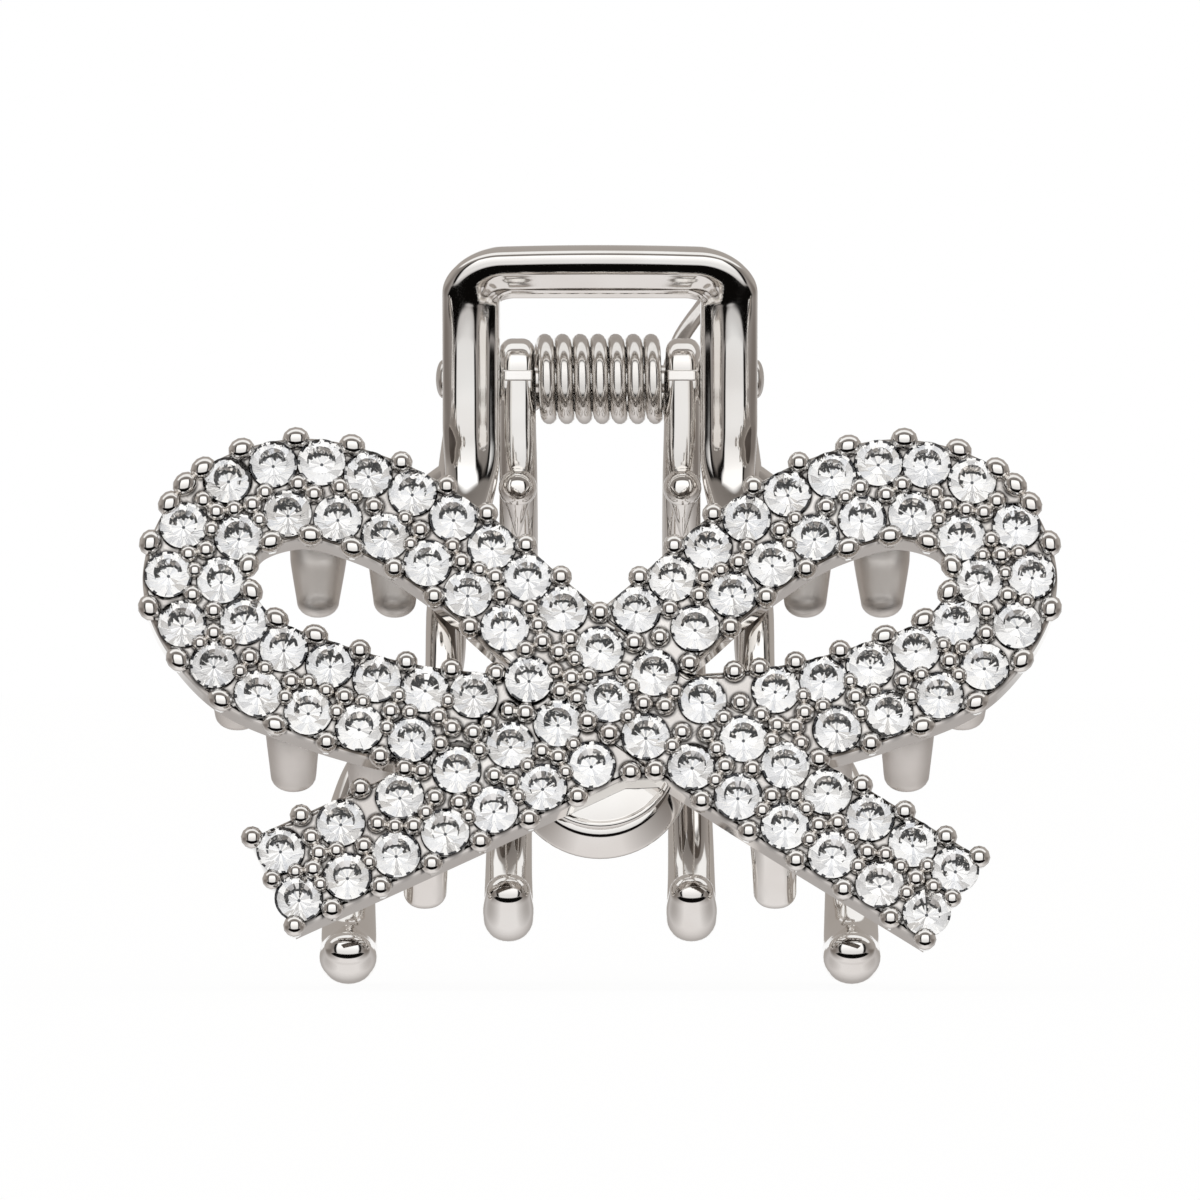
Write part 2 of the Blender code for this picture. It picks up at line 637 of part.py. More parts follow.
def make_bow(rows):
    """Bands that cross one over another, with a seat for every stone and beads between them."""
    over = smooth(in_pitches(LOOP + RIGHT_TAIL), 56)
    under = smooth(in_pitches(LOOP + [(-0.4, 0.45)], -1.0), 38)
    tail = smooth(in_pitches(LEFT_TAIL), 6)
    lower = smooth(in_pitches(LOWER_BAND), 6)
    bow = band("bow", over, 0.0)
    bands = [band("under", under, LAYER), band("tail", tail, 2 * LAYER), band("lower", lower, 3 * LAYER)]
    combine(bow, bands)
    shape = bmesh.new()
    bmesh.ops.create_uvsphere(shape, u_segments=6, v_segments=3, radius=BEAD_RADIUS * MM)
    bead = bpy.data.meshes.new("bead")
    shape.to_mesh(bead)
    shape.free()
    chosen = bead_places(rows)
    beads = []
    for level in sorted({depth for _, depth in chosen}):
        spots = [place for place, depth in chosen if depth == level]
        beads.append(copies("beads", bead, spots, np.zeros(len(spots)), level - BEAD_RISE))
    combine(bow, beads)
    seats = []
    for name, places, turns, depth, touching in rows:
        hollow = turned("hollow", seat_profile(row_radius(places, touching), depth), STONE_SIDES)
        seats.append(copies("seats_" + name, hollow.data, places, turns, depth))
        bpy.data.objects.remove(hollow, do_unlink=True)
    combine(bow, seats, "DIFFERENCE")
    bow.data.transform(bow_matrix())
    print("%d stones, %d beads" % (sum(len(places) for _, places, _, _, _ in rows), len(chosen)))
    return bow


def make_disc():
    top = -BOW_THICKNESS - 3 * LAYER - SEAT_GAP
    ends = [bow_to_hinge(0.0, -PAD_DROP, out) for out in (top, top - DISC_THICKNESS)]
    return cylinder("disc", DISC_RADIUS, *ends, 32)


clear_scene()
PARTS = make_collection("rhinestone_hair_clip")
CUTTERS = make_collection("cutters")
plated = make_material("plated_zinc_alloy", METAL, 1.0, 0.1)
steel = make_material("polished_steel", STEEL, 1.0, 0.15)
glass = make_material("foiled_glass", GLASS, 0.0, 0.03, 1.0)

front = put_at_hinge(finish(make_front_jaw(), "front_jaw", plated))
back = put_at_hinge(finish(make_back_jaw(), "back_jaw", plated))
bore(front, CUTTERS)
bore(back, CUTTERS)
put_at_hinge(finish(make_pin(), "hinge_pin", steel))
put_at_hinge(finish(make_spring(), "torsion_spring", steel))
put_at_hinge(finish(make_disc(), "mounting_disc", plated))
layout = stone_layout()
finish(make_bow(layout), "bow_setting", plated)
make_stones(layout, glass)
bpy.context.view_layer.update()
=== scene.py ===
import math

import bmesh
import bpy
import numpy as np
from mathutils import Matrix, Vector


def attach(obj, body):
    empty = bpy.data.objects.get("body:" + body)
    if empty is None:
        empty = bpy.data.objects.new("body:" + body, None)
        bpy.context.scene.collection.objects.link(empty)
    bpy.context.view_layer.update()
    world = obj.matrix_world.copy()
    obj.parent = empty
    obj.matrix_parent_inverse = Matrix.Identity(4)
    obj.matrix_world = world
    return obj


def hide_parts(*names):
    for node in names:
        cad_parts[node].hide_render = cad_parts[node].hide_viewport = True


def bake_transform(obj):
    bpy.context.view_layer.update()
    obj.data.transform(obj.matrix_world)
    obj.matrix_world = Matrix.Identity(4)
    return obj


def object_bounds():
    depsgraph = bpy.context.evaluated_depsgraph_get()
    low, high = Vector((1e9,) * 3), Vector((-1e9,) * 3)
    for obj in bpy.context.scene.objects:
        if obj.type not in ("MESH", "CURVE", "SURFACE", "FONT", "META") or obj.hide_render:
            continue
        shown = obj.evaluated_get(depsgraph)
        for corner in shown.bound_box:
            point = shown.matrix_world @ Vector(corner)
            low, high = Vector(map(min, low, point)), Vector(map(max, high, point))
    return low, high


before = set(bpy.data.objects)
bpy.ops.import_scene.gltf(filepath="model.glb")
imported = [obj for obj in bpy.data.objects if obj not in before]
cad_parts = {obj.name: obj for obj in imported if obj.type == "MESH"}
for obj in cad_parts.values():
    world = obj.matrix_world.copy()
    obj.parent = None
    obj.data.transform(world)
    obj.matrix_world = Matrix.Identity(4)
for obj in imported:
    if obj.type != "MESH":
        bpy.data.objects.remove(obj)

# %% [markdown]
# # A bow claw clip set with rhinestones
# The clip is a small hair claw: two cast jaws that turn on one pin, a torsion spring that holds
# them shut, and a flat bow, pavé set with round foiled stones, that rides on the front jaw.
# The frame that was just loaded is the engineering model. Every piece below is drawn in that same
# frame, so nothing has to be fitted: sizes are written in millimetres and become metres only when
# the points go into a mesh.

CAD_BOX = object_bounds()
MM = 0.001
SIDES = (("left", -1.0), ("right", 1.0))
print("CAD box in mm:", [[round(c / MM, 2) for c in corner] for corner in CAD_BOX])

# %% [markdown]
# ## Small tools for surfaces
# A bar of the clip is a profile carried along a path, so three helpers do most of the work: a smooth
# path through a few points, the quads of a grid that closes round its profile, and the carrying
# itself. They work on whole arrays, which keeps them short and quick. The alternative, Blender's
# bevelled curves, gives only one profile for the whole path and hides its frames.

# %% Paths and grids
FINE_STEPS = 60
NOSE = np.linspace(0.0, math.pi / 2, 9)[1:]
RIGHT = np.array([1.0, 0.0, 0.0])
FLIP = np.array([-1.0, 1.0, 1.0])


def unit(vectors):
    """Each vector divided by its own length."""
    return vectors / np.linalg.norm(vectors, axis=-1, keepdims=True)


def along(path):
    """Length run along a path, from zero at its first point."""
    steps = np.linalg.norm(np.diff(path, axis=0), axis=1)
    return np.concatenate([[0.0], np.cumsum(steps)])


def evenly(path, count):
    """The same line with its points spaced evenly."""
    run = along(path)
    at = np.linspace(0.0, run[-1], count)
    return np.stack([np.interp(at, run, path[:, i]) for i in range(path.shape[1])], axis=1)


def smooth_path(points, count):
    """Cubic Hermite curve through the points, with slopes from central differences, spaced evenly."""
    knots = np.array(points, float)
    at = along(knots)
    steps = np.diff(at)
    slopes = np.gradient(knots, at, axis=0)
    t = np.linspace(0.0, at[-1], FINE_STEPS * len(knots))
    k = np.clip(np.searchsorted(at, t, side="right") - 1, 0, len(steps) - 1)
    s = ((t - at[k]) / steps[k])[:, None]
    h = steps[k][:, None]
    fine = (
        (2 * s**3 - 3 * s**2 + 1) * knots[k]
        + (s**3 - 2 * s**2 + s) * h * slopes[k]
        + (3 * s**2 - 2 * s**3) * knots[k + 1]
        + (s**3 - s**2) * h * slopes[k + 1]
    )
    return evenly(fine, count)


def grid_faces(rows, columns):
    """Quads of a grid of points, row after row, that closes on itself along each row."""
    row, column = np.meshgrid(np.arange(rows - 1), np.arange(columns), indexing="ij")
    after = (column + 1) % columns
    corners = [row * columns + column, row * columns + after]
    corners += [(row + 1) * columns + after, (row + 1) * columns + column]
    return np.stack(corners, axis=-1).reshape(-1, 4)


def rounded(count, power):
    """Superellipse |x|^p + |y|^p = 1 of half width 1: p = 2 is an ellipse, a larger p is boxier."""
    turn = np.linspace(0.0, 2 * math.pi, count, endpoint=False)
    x, y = (np.sign(v) * np.abs(v) ** (2 / power) for v in (np.cos(turn), np.sin(turn)))
    return np.stack([x, y], axis=1)


# %% A bar along a path, and a profile turned round an axis
def bar(points, widths, depths, count=40, side=RIGHT, power=2.4, around=20, ends=(True, True)):
    """A bar along a smooth path: the profile's width lies along side, its depth square to that and to
    the path. Each point gives its half sizes. An end that is set closes in a round nose, any other flat."""
    path = smooth_path(points, count)
    given = along(np.array(points, float))
    at = np.linspace(0.0, given[-1], count)
    sizes = np.stack([np.interp(at, given, v) for v in (widths, depths)], axis=1)
    ahead = unit(np.gradient(path, axis=0))
    for end, last in zip(ends, (0, -1)):
        reach = sizes[last].min() * np.sin(NOSE) if end else 0 * NOSE
        way = ahead[last] if last else -ahead[last]
        more = path[last] + reach[:, None] * way
        less = sizes[last] * np.cos(NOSE)[:, None]
        if last:
            path, sizes = np.vstack([path, more]), np.vstack([sizes, less])
        else:
            path, sizes = np.vstack([more[::-1], path]), np.vstack([less[::-1], sizes])
    first, last = (end.repeat(len(NOSE), 0) for end in (ahead[:1], ahead[-1:]))
    ahead = unit(np.vstack([first, ahead, last]))
    across = np.array(side) - (ahead @ np.array(side))[:, None] * ahead
    across = unit(across) * sizes[:, :1]
    facing = np.cross(ahead, unit(across)) * sizes[:, 1:]
    shape = rounded(around, power)
    points = path[:, None] + across[:, None] * shape[:, :1] + facing[:, None] * shape[:, 1:]
    return points.reshape(-1, 3), grid_faces(len(path), around)


def turned(profile, centre, axis, up, around=48):
    """Turns a profile of (radius, height) round an axis: point = centre + axis * height
    + radius * (up * cos + side * sin)."""
    axis, up = unit(np.array(axis, float)), unit(np.array(up, float))
    turn = np.linspace(0.0, 2 * math.pi, around, endpoint=False)
    circle = np.cos(turn)[:, None] * up + np.sin(turn)[:, None] * np.cross(axis, up)
    profile = np.array(profile, float)
    points = profile[:, :1, None] * circle + profile[:, 1:, None] * axis + np.array(centre, float)
    return points.reshape(-1, 3), grid_faces(len(profile), around)


def mirrored(part):
    """The same part on the other side of the middle, with its finish."""
    points, *rest = part
    return points * FLIP, *rest


print("surface tools ready, noses of", len(NOSE), "rings")

# %% [markdown]
# ## From arrays to pieces
# One function puts arrays into a mesh. It merges the rings that close to a point, lets Blender turn
# all faces outwards, shades smooth and hands the piece to the body it moves with. It also hides the
# part of the engineering model that the piece stands for, and gives the piece its finishes.

# %% Making a piece
HINGE = np.array([0.0, 0.0, 15.0])
MERGE = 0.0005


def face_outwards(mesh, merge=0.0):
    """Merges points that lie closer than a distance in mm, then turns all faces outwards."""
    shape = bmesh.new()
    shape.from_mesh(mesh)
    if merge:
        bmesh.ops.remove_doubles(shape, verts=shape.verts, dist=merge * MM)
    bmesh.ops.recalc_face_normals(shape, faces=shape.faces)
    shape.to_mesh(mesh)
    shape.free()


def make_piece(name, parts, materials, body="front", stands_for=(), sharp=None):
    """Gathers (points, faces[, material number]) arrays into one object at the origin. Where sharp is
    given, edges that turn by more than that many degrees stay crisp."""
    points, faces, numbers, before = [], [], [], 0
    for part in parts:
        points.append(part[0])
        faces.append(part[1] + before)
        numbers.append(np.full(len(part[1]), part[2] if len(part) > 2 else 0))
        before += len(part[0])
    mesh = bpy.data.meshes.new(name)
    corners = (np.concatenate(points) * MM).tolist()
    mesh.from_pydata(corners, [], [face for group in faces for face in group.tolist()])
    mesh.polygons.foreach_set("material_index", np.concatenate(numbers).astype(np.int32))
    face_outwards(mesh, MERGE)
    mesh.shade_smooth()
    if sharp:
        mesh.set_sharp_from_angle(angle=math.radians(sharp))
    made = bpy.data.objects.new(name, mesh)
    bpy.context.scene.collection.objects.link(made)
    for material in materials:
        mesh.materials.append(material)
    if body:
        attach(made, body)
    if stands_for:
        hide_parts(*stands_for)
    print("%-34s %6d faces" % (name, len(mesh.polygons)))
    return made


def from_hinge(parts):
    """Moves parts drawn from the hinge axis to their place in the frame."""
    return [(points + HINGE, *rest) for points, *rest in parts]


print("pieces are drawn from the hinge at", HINGE.tolist(), "mm")

# %% [markdown]
# ## Finishes
# Three kinds of finish make the clip. The jaws and the bow are cast zinc alloy, barrel polished and
# plated with rhodium over nickel: a bright, slightly warm mirror with the faint waviness of a casting.
# Where the barrel's chips do not reach, the same plating stays satin. Between the stones it is wavier, and
# its plating is painted darker as shade, darkest round stones and beads; the bow's back is left rough and
# painted dark as shade. The spring and the pin are drawn steel wire, a little greyer, with a fine mottle in
# its polish. The stones are pressed and polished glass with a silver foil on their backs, which throws the
# light out again through the front; tones painted on its facets add painted reflections and glints. Each
# finish is a short node tree on object coordinates, so it stays put on the piece. Scales are counts per
# millimetre; polish marks are finer on the real clip and are drawn as coarse as they need to show.

# %% Colours and nodes
# A Mix node keeps a set of sockets for each kind of value. These numbers are the ones for colours.
MIX_A, MIX_B, MIX_RESULT = 6, 7, 2


def linear(hex_colour):
    """sRGB hex to linear light: below 0.04045 divide by 12.92, else ((c + 0.055) / 1.055) ** 2.4."""
    value = np.array([int(hex_colour[i : i + 2], 16) for i in (1, 3, 5)]) / 255
    light = np.where(value <= 0.04045, value / 12.92, ((value + 0.055) / 1.055) ** 2.4)
    return (*light.tolist(), 1.0)


def node(tree, kind, wiring=(), **settings):
    """Adds a node and sets its properties or named sockets. Each pair in wiring names a socket and gives
    it an output to link, or a constant."""
    made = tree.nodes.new(kind)
    for key, value in settings.items():
        if hasattr(made, key):
            setattr(made, key, value)
        else:
            made.inputs[key.replace("_", " ")].default_value = value
    for socket, source in wiring:
        if isinstance(source, bpy.types.NodeSocket):
            tree.links.new(source, made.inputs[socket])
        else:
            made.inputs[socket].default_value = source
    return made


def new_material(name):
    """A material with an empty node tree, and that tree."""
    material = bpy.data.materials.new(name)
    material.use_nodes = True
    material.node_tree.nodes.clear()
    return material, material.node_tree


# %% Plated zinc alloy: a warm mirror with cast waviness and soft polish marks
GRIT_PER_MM = 2.6
PATCHES_PER_MM = 0.26
WAVES_PER_MM = 0.42
WAVE_HEIGHT = 0.1
# Painted shade: a near-black laid into the corners round stones and beads, where their shade falls
RECESS_SHADE = "#1d1a18"


def plated_zinc(name, dark, light, smooth, rough, wave=0.06):
    """Two tones of plating in patches of 4 mm, a roughness that wanders between two values, and a low
    casting wave of 2.4 mm. Where a piece has a recess attribute, painted shade darkens it in the corners."""
    material, tree = new_material(name)
    place = [("Vector", node(tree, "ShaderNodeTexCoord").outputs["Object"])]
    grit = node(tree, "ShaderNodeTexNoise", place, Scale=GRIT_PER_MM / MM, Detail=3.0)
    polish = node(tree, "ShaderNodeMapRange", [("Value", grit.outputs["Fac"])], To_Min=smooth, To_Max=rough)
    patch = node(tree, "ShaderNodeTexNoise", place, Scale=PATCHES_PER_MM / MM, Detail=2.0)
    tone = node(tree, "ShaderNodeValToRGB", [("Fac", patch.outputs["Fac"])])
    for number, at, shade in ((0, 0.3, dark), (1, 0.7, light)):
        tone.color_ramp.elements[number].position = at
        tone.color_ramp.elements[number].color = linear(shade)
    # Painted shade: the recess attribute mixes the near-black shade colour into the plating
    recess = node(tree, "ShaderNodeAttribute", attribute_name="recess")
    layers = [("Factor", recess.outputs["Fac"]), (MIX_A, tone.outputs["Color"]), (MIX_B, linear(RECESS_SHADE))]
    recess_shaded = node(tree, "ShaderNodeMix", layers, data_type="RGBA")
    waves = node(tree, "ShaderNodeTexNoise", place, Scale=WAVES_PER_MM / MM, Detail=1.0)
    bump = node(tree, "ShaderNodeBump", [("Height", waves.outputs["Fac"])], Strength=wave,
                Distance=WAVE_HEIGHT * MM)
    shader = node(
        tree, "ShaderNodeBsdfPrincipled",
        [("Base Color", recess_shaded.outputs[MIX_RESULT]), ("Roughness", polish.outputs["Result"]),
         ("Normal", bump.outputs["Normal"])],
        Metallic=1.0,
    )
    node(tree, "ShaderNodeOutputMaterial", [("Surface", shader.outputs["BSDF"])])
    return material


# %% Spring steel: drawn wire, polished, with a fine mottle
MOTTLE_PER_MM = 5.2


def drawn_steel():
    """One fine noise moves both the tone and the roughness of the wire."""
    material, tree = new_material("drawn_spring_steel")
    place = [("Vector", node(tree, "ShaderNodeTexCoord").outputs["Object"])]
    mottle = node(tree, "ShaderNodeTexNoise", place, Scale=MOTTLE_PER_MM / MM, Detail=2.0)
    rough = node(tree, "ShaderNodeMapRange", [("Value", mottle.outputs["Fac"])], To_Min=0.07, To_Max=0.17)
    shade = node(tree, "ShaderNodeValToRGB", [("Fac", mottle.outputs["Fac"])])
    shade.color_ramp.elements[0].color = linear("#dcd8d3")
    shade.color_ramp.elements[1].color = linear("#ebe8e5")
    shader = node(
        tree, "ShaderNodeBsdfPrincipled",
        [("Base Color", shade.outputs["Color"]), ("Roughness", rough.outputs["Result"])],
        Metallic=1.0,
    )
    node(tree, "ShaderNodeOutputMaterial", [("Surface", shader.outputs["BSDF"])])
    return material


# %% Pressed glass and its foil
CLOUDS_PER_MM = 0.3
# Painted reflections on the foil: facet tones from dark to light, a few leaning blue or amber as painted
# glints
PAINTED_FACET_TONES = ((0.22, "#4c5057"), (0.42, "#8f9195"), (0.55, "#c4c0bb"), (0.68, "#e2e3e5"), (0.8, "#f8f8f8"))


def pressed_glass():
    """Clear crystal glass, IOR 1.56, polished; a breath of grey keeps it from looking like a hole."""
    material, tree = new_material("pressed_crystal_glass")
    place = [("Vector", node(tree, "ShaderNodeTexCoord").outputs["Object"])]
    cloud = node(tree, "ShaderNodeTexNoise", place, Scale=CLOUDS_PER_MM / MM)
    tint = node(tree, "ShaderNodeValToRGB", [("Fac", cloud.outputs["Fac"])])
    tint.color_ramp.elements[0].color = linear("#fafafb")
    tint.color_ramp.elements[1].color = linear("#ffffff")
    shader = node(
        tree, "ShaderNodeBsdfPrincipled", [("Base Color", tint.outputs["Color"])],
        Roughness=0.0, IOR=1.56, Transmission_Weight=1.0,
    )
    node(tree, "ShaderNodeOutputMaterial", [("Surface", shader.outputs["BSDF"])])
    return material


def silver_foil():
    """The stone's mirrored back. Every facet carries a painted tone of its own, painted reflections of a
    bright or dark room; a few tones lean to blue or amber, painted glints for cut glass splitting the light."""
    material, tree = new_material("silver_foil_backing")
    facet = node(tree, "ShaderNodeAttribute", attribute_name="painted_facet_tone")
    tint = node(tree, "ShaderNodeValToRGB", [("Fac", facet.outputs["Fac"])])
    ramp = tint.color_ramp
    ramp.elements[0].color = linear("#1d1b1a")
    ramp.elements[1].color = linear("#fdfcfa")
    for at, shade in PAINTED_FACET_TONES:
        ramp.elements.new(at).color = linear(shade)
    shader = node(
        tree, "ShaderNodeBsdfPrincipled", [("Base Color", tint.outputs["Color"])],
        Metallic=1.0, Roughness=0.02,
    )
    node(tree, "ShaderNodeOutputMaterial", [("Surface", shader.outputs["BSDF"])])
    return material


# %% The finishes themselves: two plating tones, the smoothest and roughest polish, and the wave
PLATED = plated_zinc("rhodium_plated_zinc_polished", "#ebe7e3", "#f4f2ef", 0.04, 0.1)
SATIN = plated_zinc("rhodium_plated_zinc_tumbled", "#e6e1dc", "#efebe7", 0.4, 0.5)
# Between the stones the plating is a darker copy, which is painted shade; its stronger wave is real
GROUND = plated_zinc("rhodium_plated_zinc_between_stones_painted_shade", "#c6c1bd", "#e0dcd8", 0.1, 0.24, 0.8)
# The bow's back: a real rough casting, with a dark colour that is painted shade for the unlit back
ROUGH_SHADED_BACK = plated_zinc("rhodium_plated_zinc_rough_back_painted_shade", "#6c6560", "#88817b", 0.32, 0.46, 0.3)
STEEL = drawn_steel()
GLASS = pressed_glass()
FOIL = silver_foil()
print("finishes:", ", ".join(m.name for m in (PLATED, SATIN, GROUND, ROUGH_SHADED_BACK, STEEL, GLASS, FOIL)))

# %% [markdown]
# ## The handle loops and the bars below them
# Each jaw starts as a window of bar: over the top, round two corners and down both sides. On the real
# casting the bar is crowned on its outer face, with a low flat lip round the window, and below the
# hinge the two sides run on as the claw's long bars. A bent tube would pinch at the tight inner
# corners, so the bar is spanned between two edge lines instead: the outer outline and the window.

# %% The bar's profiles: crown, lip, window wall and narrow back, as (share of width, share of depth)
WALL = [(0.0, -0.5), (0.03, -0.82), (0.12, -0.97), (0.4, -1.0), (0.62, -0.97), (0.74, -0.88), (0.85, -0.65)]
TOP_CROWN = [(1.0, 0.45), (0.985, 0.65), (0.95, 0.8), (0.91, 0.87), (0.87, 0.905), (0.82, 0.93),
             (0.76, 0.94), (0.68, 0.94), (0.6, 0.925), (0.555, 0.89), (0.5, 0.835), (0.4, 0.72), (0.3, 0.61),
             (0.2, 0.515), (0.14, 0.475), (0.09, 0.45), (0.045, 0.41), (0.012, 0.3), (0.0, 0.05), *WALL,
             (0.93, -0.25), (0.985, 0.2), (1.0, 0.45)]
SIDE_CROWN = [(1.0, 0.3), (0.98, 0.5), (0.94, 0.64), (0.88, 0.76), (0.8, 0.88), (0.74, 0.95), (0.66, 0.99),
              (0.57, 1.0), (0.48, 0.98), (0.41, 0.92), (0.33, 0.79), (0.25, 0.64), (0.17, 0.51),
              (0.12, 0.465), (0.06, 0.42), (0.02, 0.32), (0.0, 0.08), *WALL, (0.93, -0.25), (0.985, 0.1),
              (1.0, 0.3)]
AROUND_BAR = 60
ROUND_BAR = rounded(AROUND_BAR, 2.3) * 0.5 * np.array([1.0, 2.0]) + np.array([0.5, 0.0])
TOP_BAR, SIDE_BAR = (smooth_path(crown, AROUND_BAR + 1)[:-1] for crown in (TOP_CROWN, SIDE_CROWN))
print("three bar profiles of", AROUND_BAR, "points")

# %% The loop's two edge lines
HANDLE_HALF = 7.925
WINDOW_HALF = 5.075
OUTER_CORNER = (2.9, 2.3)
WINDOW_CORNER = (0.75, 0.65)
ARCH = 0.24
FRONT_LEAN = math.radians(20.0)
BACK_LEAN = math.radians(34.5)
FLARE = 0.025
FLARE_MIDDLE = 4.2
FLARE_EASE = 8.0
TOP_ROWS = 25
CORNER_ROWS = 24
SIDE_ROWS = 30


def in_plane(across, up, offset, lean, way):
    """A place on a leaning loop. The loop stands off the hinge axis and leans away from it, and flares
    a little: off = offset + flare * ((up - middle)^2 - ease)."""
    across, up = np.broadcast_arrays(np.asarray(across, float), np.asarray(up, float))
    off = offset + FLARE * ((up - FLARE_MIDDLE) ** 2 - FLARE_EASE)
    y = way * (off * math.cos(lean) + up * math.sin(lean))
    z = -off * math.sin(lean) + up * math.cos(lean)
    return np.stack([across, y, z], axis=-1)


def handle_edges(rise, top_bar, offset, lean, way, low):
    """Outer outline and window outline of the right half, from the middle of the top down to low: a
    straight top, an elliptic corner and a straight side. The outer top edge is arched a little."""
    turn = np.linspace(math.pi / 2, 0.0, CORNER_ROWS)
    outlines = ((HANDLE_HALF, rise, OUTER_CORNER), (WINDOW_HALF, rise - top_bar, WINDOW_CORNER))
    edges = []
    for half, top, (wide, high) in outlines:
        across = [np.linspace(0.0, half - wide, TOP_ROWS + 1)[:-1], half - wide + wide * np.cos(turn)]
        up = [np.full(TOP_ROWS, top), top - high + high * np.sin(turn)]
        across.append(np.full(SIDE_ROWS, half))
        up.append(np.linspace(top - high, low, SIDE_ROWS + 1)[1:])
        across, up = np.concatenate(across), np.concatenate(up)
        arch = ARCH * (half == HANDLE_HALF) * (1 - (across / half) ** 2)
        edges.append(in_plane(across, up + arch, offset, lean, way))
    return edges


print("a handle is %.2f mm wide round a window of %.2f mm" % (2 * HANDLE_HALF, 2 * WINDOW_HALF))

# %% The bar spanned between the edges and run on below the hinge
BAR_DEPTH = 1.15
BAR_HALF = 1.425
RUN_ROWS = 150
LEAD_ROWS = 8
ROUND_FROM = 3.0
ROUND_OVER = 5.0
TURN_FROM = 26
TURN_OVER = 34
THIN = 0.01


def ease(share):
    """Smooth step 3 s^2 - 2 s^3 of a share held between 0 and 1, shaped to weigh whole profiles."""
    s = np.clip(share, 0.0, 1.0)
    return (s * s * (3 - 2 * s))[:, None, None]


def run_below(before, last, below):
    """Rows of (x, y, z, half width, half depth) on from the loop's end through the rows given, closed by
    a round nose."""
    rows = [[*before, BAR_HALF, BAR_DEPTH], [*last, BAR_HALF, BAR_DEPTH], *below]
    run = smooth_path(rows, RUN_ROWS)
    run = run[np.argmin(np.linalg.norm(run[:, :3] - last, axis=1)) + 1 :]
    tip = np.repeat(run[-1:], len(NOSE), axis=0)
    tip[:, :3] += (run[-1, 4] * np.sin(NOSE))[:, None] * unit(run[-1, :3] - run[-2, :3])
    tip[:, 3:] *= np.cos(NOSE)[:, None]
    return np.vstack([run, tip])


def running_bar(rise, top_bar, offset, lean, way, low, below):
    """A loop and the two bars below it as one surface: point = inner + span * share of width + facing *
    share of depth. The profile changes round the corner, and below the hinge it turns into a plain round
    one."""
    outer, inner = handle_edges(rise, top_bar, offset, lean, way, low)
    run = run_below((outer[-LEAD_ROWS] + inner[-LEAD_ROWS]) / 2, (outer[-1] + inner[-1]) / 2, below)
    depth = np.concatenate([np.full(len(outer), BAR_DEPTH), run[:, 4]])
    outer = np.vstack([outer, run[:, :3] + run[:, 3:4] * RIGHT])
    inner = np.vstack([inner, run[:, :3] - run[:, 3:4] * RIGHT])
    corner = ease((np.arange(len(outer)) - TURN_FROM) / TURN_OVER)
    profile = (1 - corner) * TOP_BAR + corner * SIDE_BAR
    blend = ease((-outer[:, 2] - ROUND_FROM) / ROUND_OVER)
    profile = (1 - blend) * profile + blend * ROUND_BAR
    outer, inner = (np.vstack([edge[:0:-1] * FLIP, edge]) for edge in (outer, inner))
    depth, profile = (np.concatenate([rows[:0:-1], rows]) for rows in (depth, profile))
    if way > 0:
        outer, inner, depth, profile = (rows[::-1] for rows in (outer, inner, depth, profile))
    span = outer - inner
    ahead = np.gradient((outer + inner) / 2, axis=0)
    straight = unit(np.where(np.linalg.norm(span, axis=1)[:, None] < THIN, RIGHT, span))
    facing = unit(np.cross(ahead, straight)) * depth[:, None]
    points = inner[:, None] + span[:, None] * profile[..., :1] + facing[:, None] * profile[..., 1:]
    return points.reshape(-1, 3), grid_faces(len(outer), profile.shape[1])


print("bars are %.2f mm wide and %.2f mm deep" % (2 * BAR_HALF, 2 * BAR_DEPTH))

# %% [markdown]
# ## The front jaw
# Below the hinge the front bars swing forward round the hair and back in to a blunt tooth. A wing runs
# outwards from each bar behind the bow and carries three short tongues, and a bridge between the bars
# holds the round pad that the bow is fixed to. Tongues are bars whose profile is wider than deep.

# %% Bow places seen from the hinge
BOW_TILT = math.radians(15.0)
BOW_Y = -11.5
BOW_Z = -15.15
BOW_OUT = np.array([0.0, -math.cos(BOW_TILT), math.sin(BOW_TILT)])
BOW_UP = np.array([0.0, math.sin(BOW_TILT), math.cos(BOW_TILT)])


def on_bow(across, up, out):
    """A place on the bow's tilted plane, measured from the hinge axis: middle + up and out, both turned
    by the tilt."""
    across, up, out = np.broadcast_arrays(*(np.asarray(v, float) for v in (across, up, out)))
    y = BOW_Y + up * math.sin(BOW_TILT) - out * math.cos(BOW_TILT)
    z = BOW_Z + up * math.cos(BOW_TILT) + out * math.sin(BOW_TILT)
    return np.stack([across, y, z], axis=-1)


# %% Balls and hubs
def ball(centre, radius, around=32):
    """A sphere: a half circle turned round an upright axis."""
    turn = np.linspace(-math.pi / 2, math.pi / 2, 17)
    half_circle = np.stack([radius * np.cos(turn), radius * np.sin(turn)], axis=1)
    return turned(half_circle, centre, (0, 0, 1), (1, 0, 0), around)


def barrel(start, end, radius, edge=0.18, around=48):
    """A hub round the hinge axis with rounded rims: a quarter circle at each rim, turned."""
    turn = np.linspace(0.0, math.pi / 2, 6)
    rim = np.stack([radius - edge + edge * np.sin(turn), edge - edge * np.cos(turn)], axis=1)
    first = np.vstack([[0.0, 0.0], rim])
    last = first[::-1] * np.array([1.0, -1.0]) + np.array([0.0, abs(end - start)])
    way = math.copysign(1.0, end - start)
    return turned(np.vstack([first, last]), (start, 0, 0), (way, 0, 0), (0, 0, 1), around)


print("the bow leans back by %.0f degrees" % math.degrees(BOW_TILT))

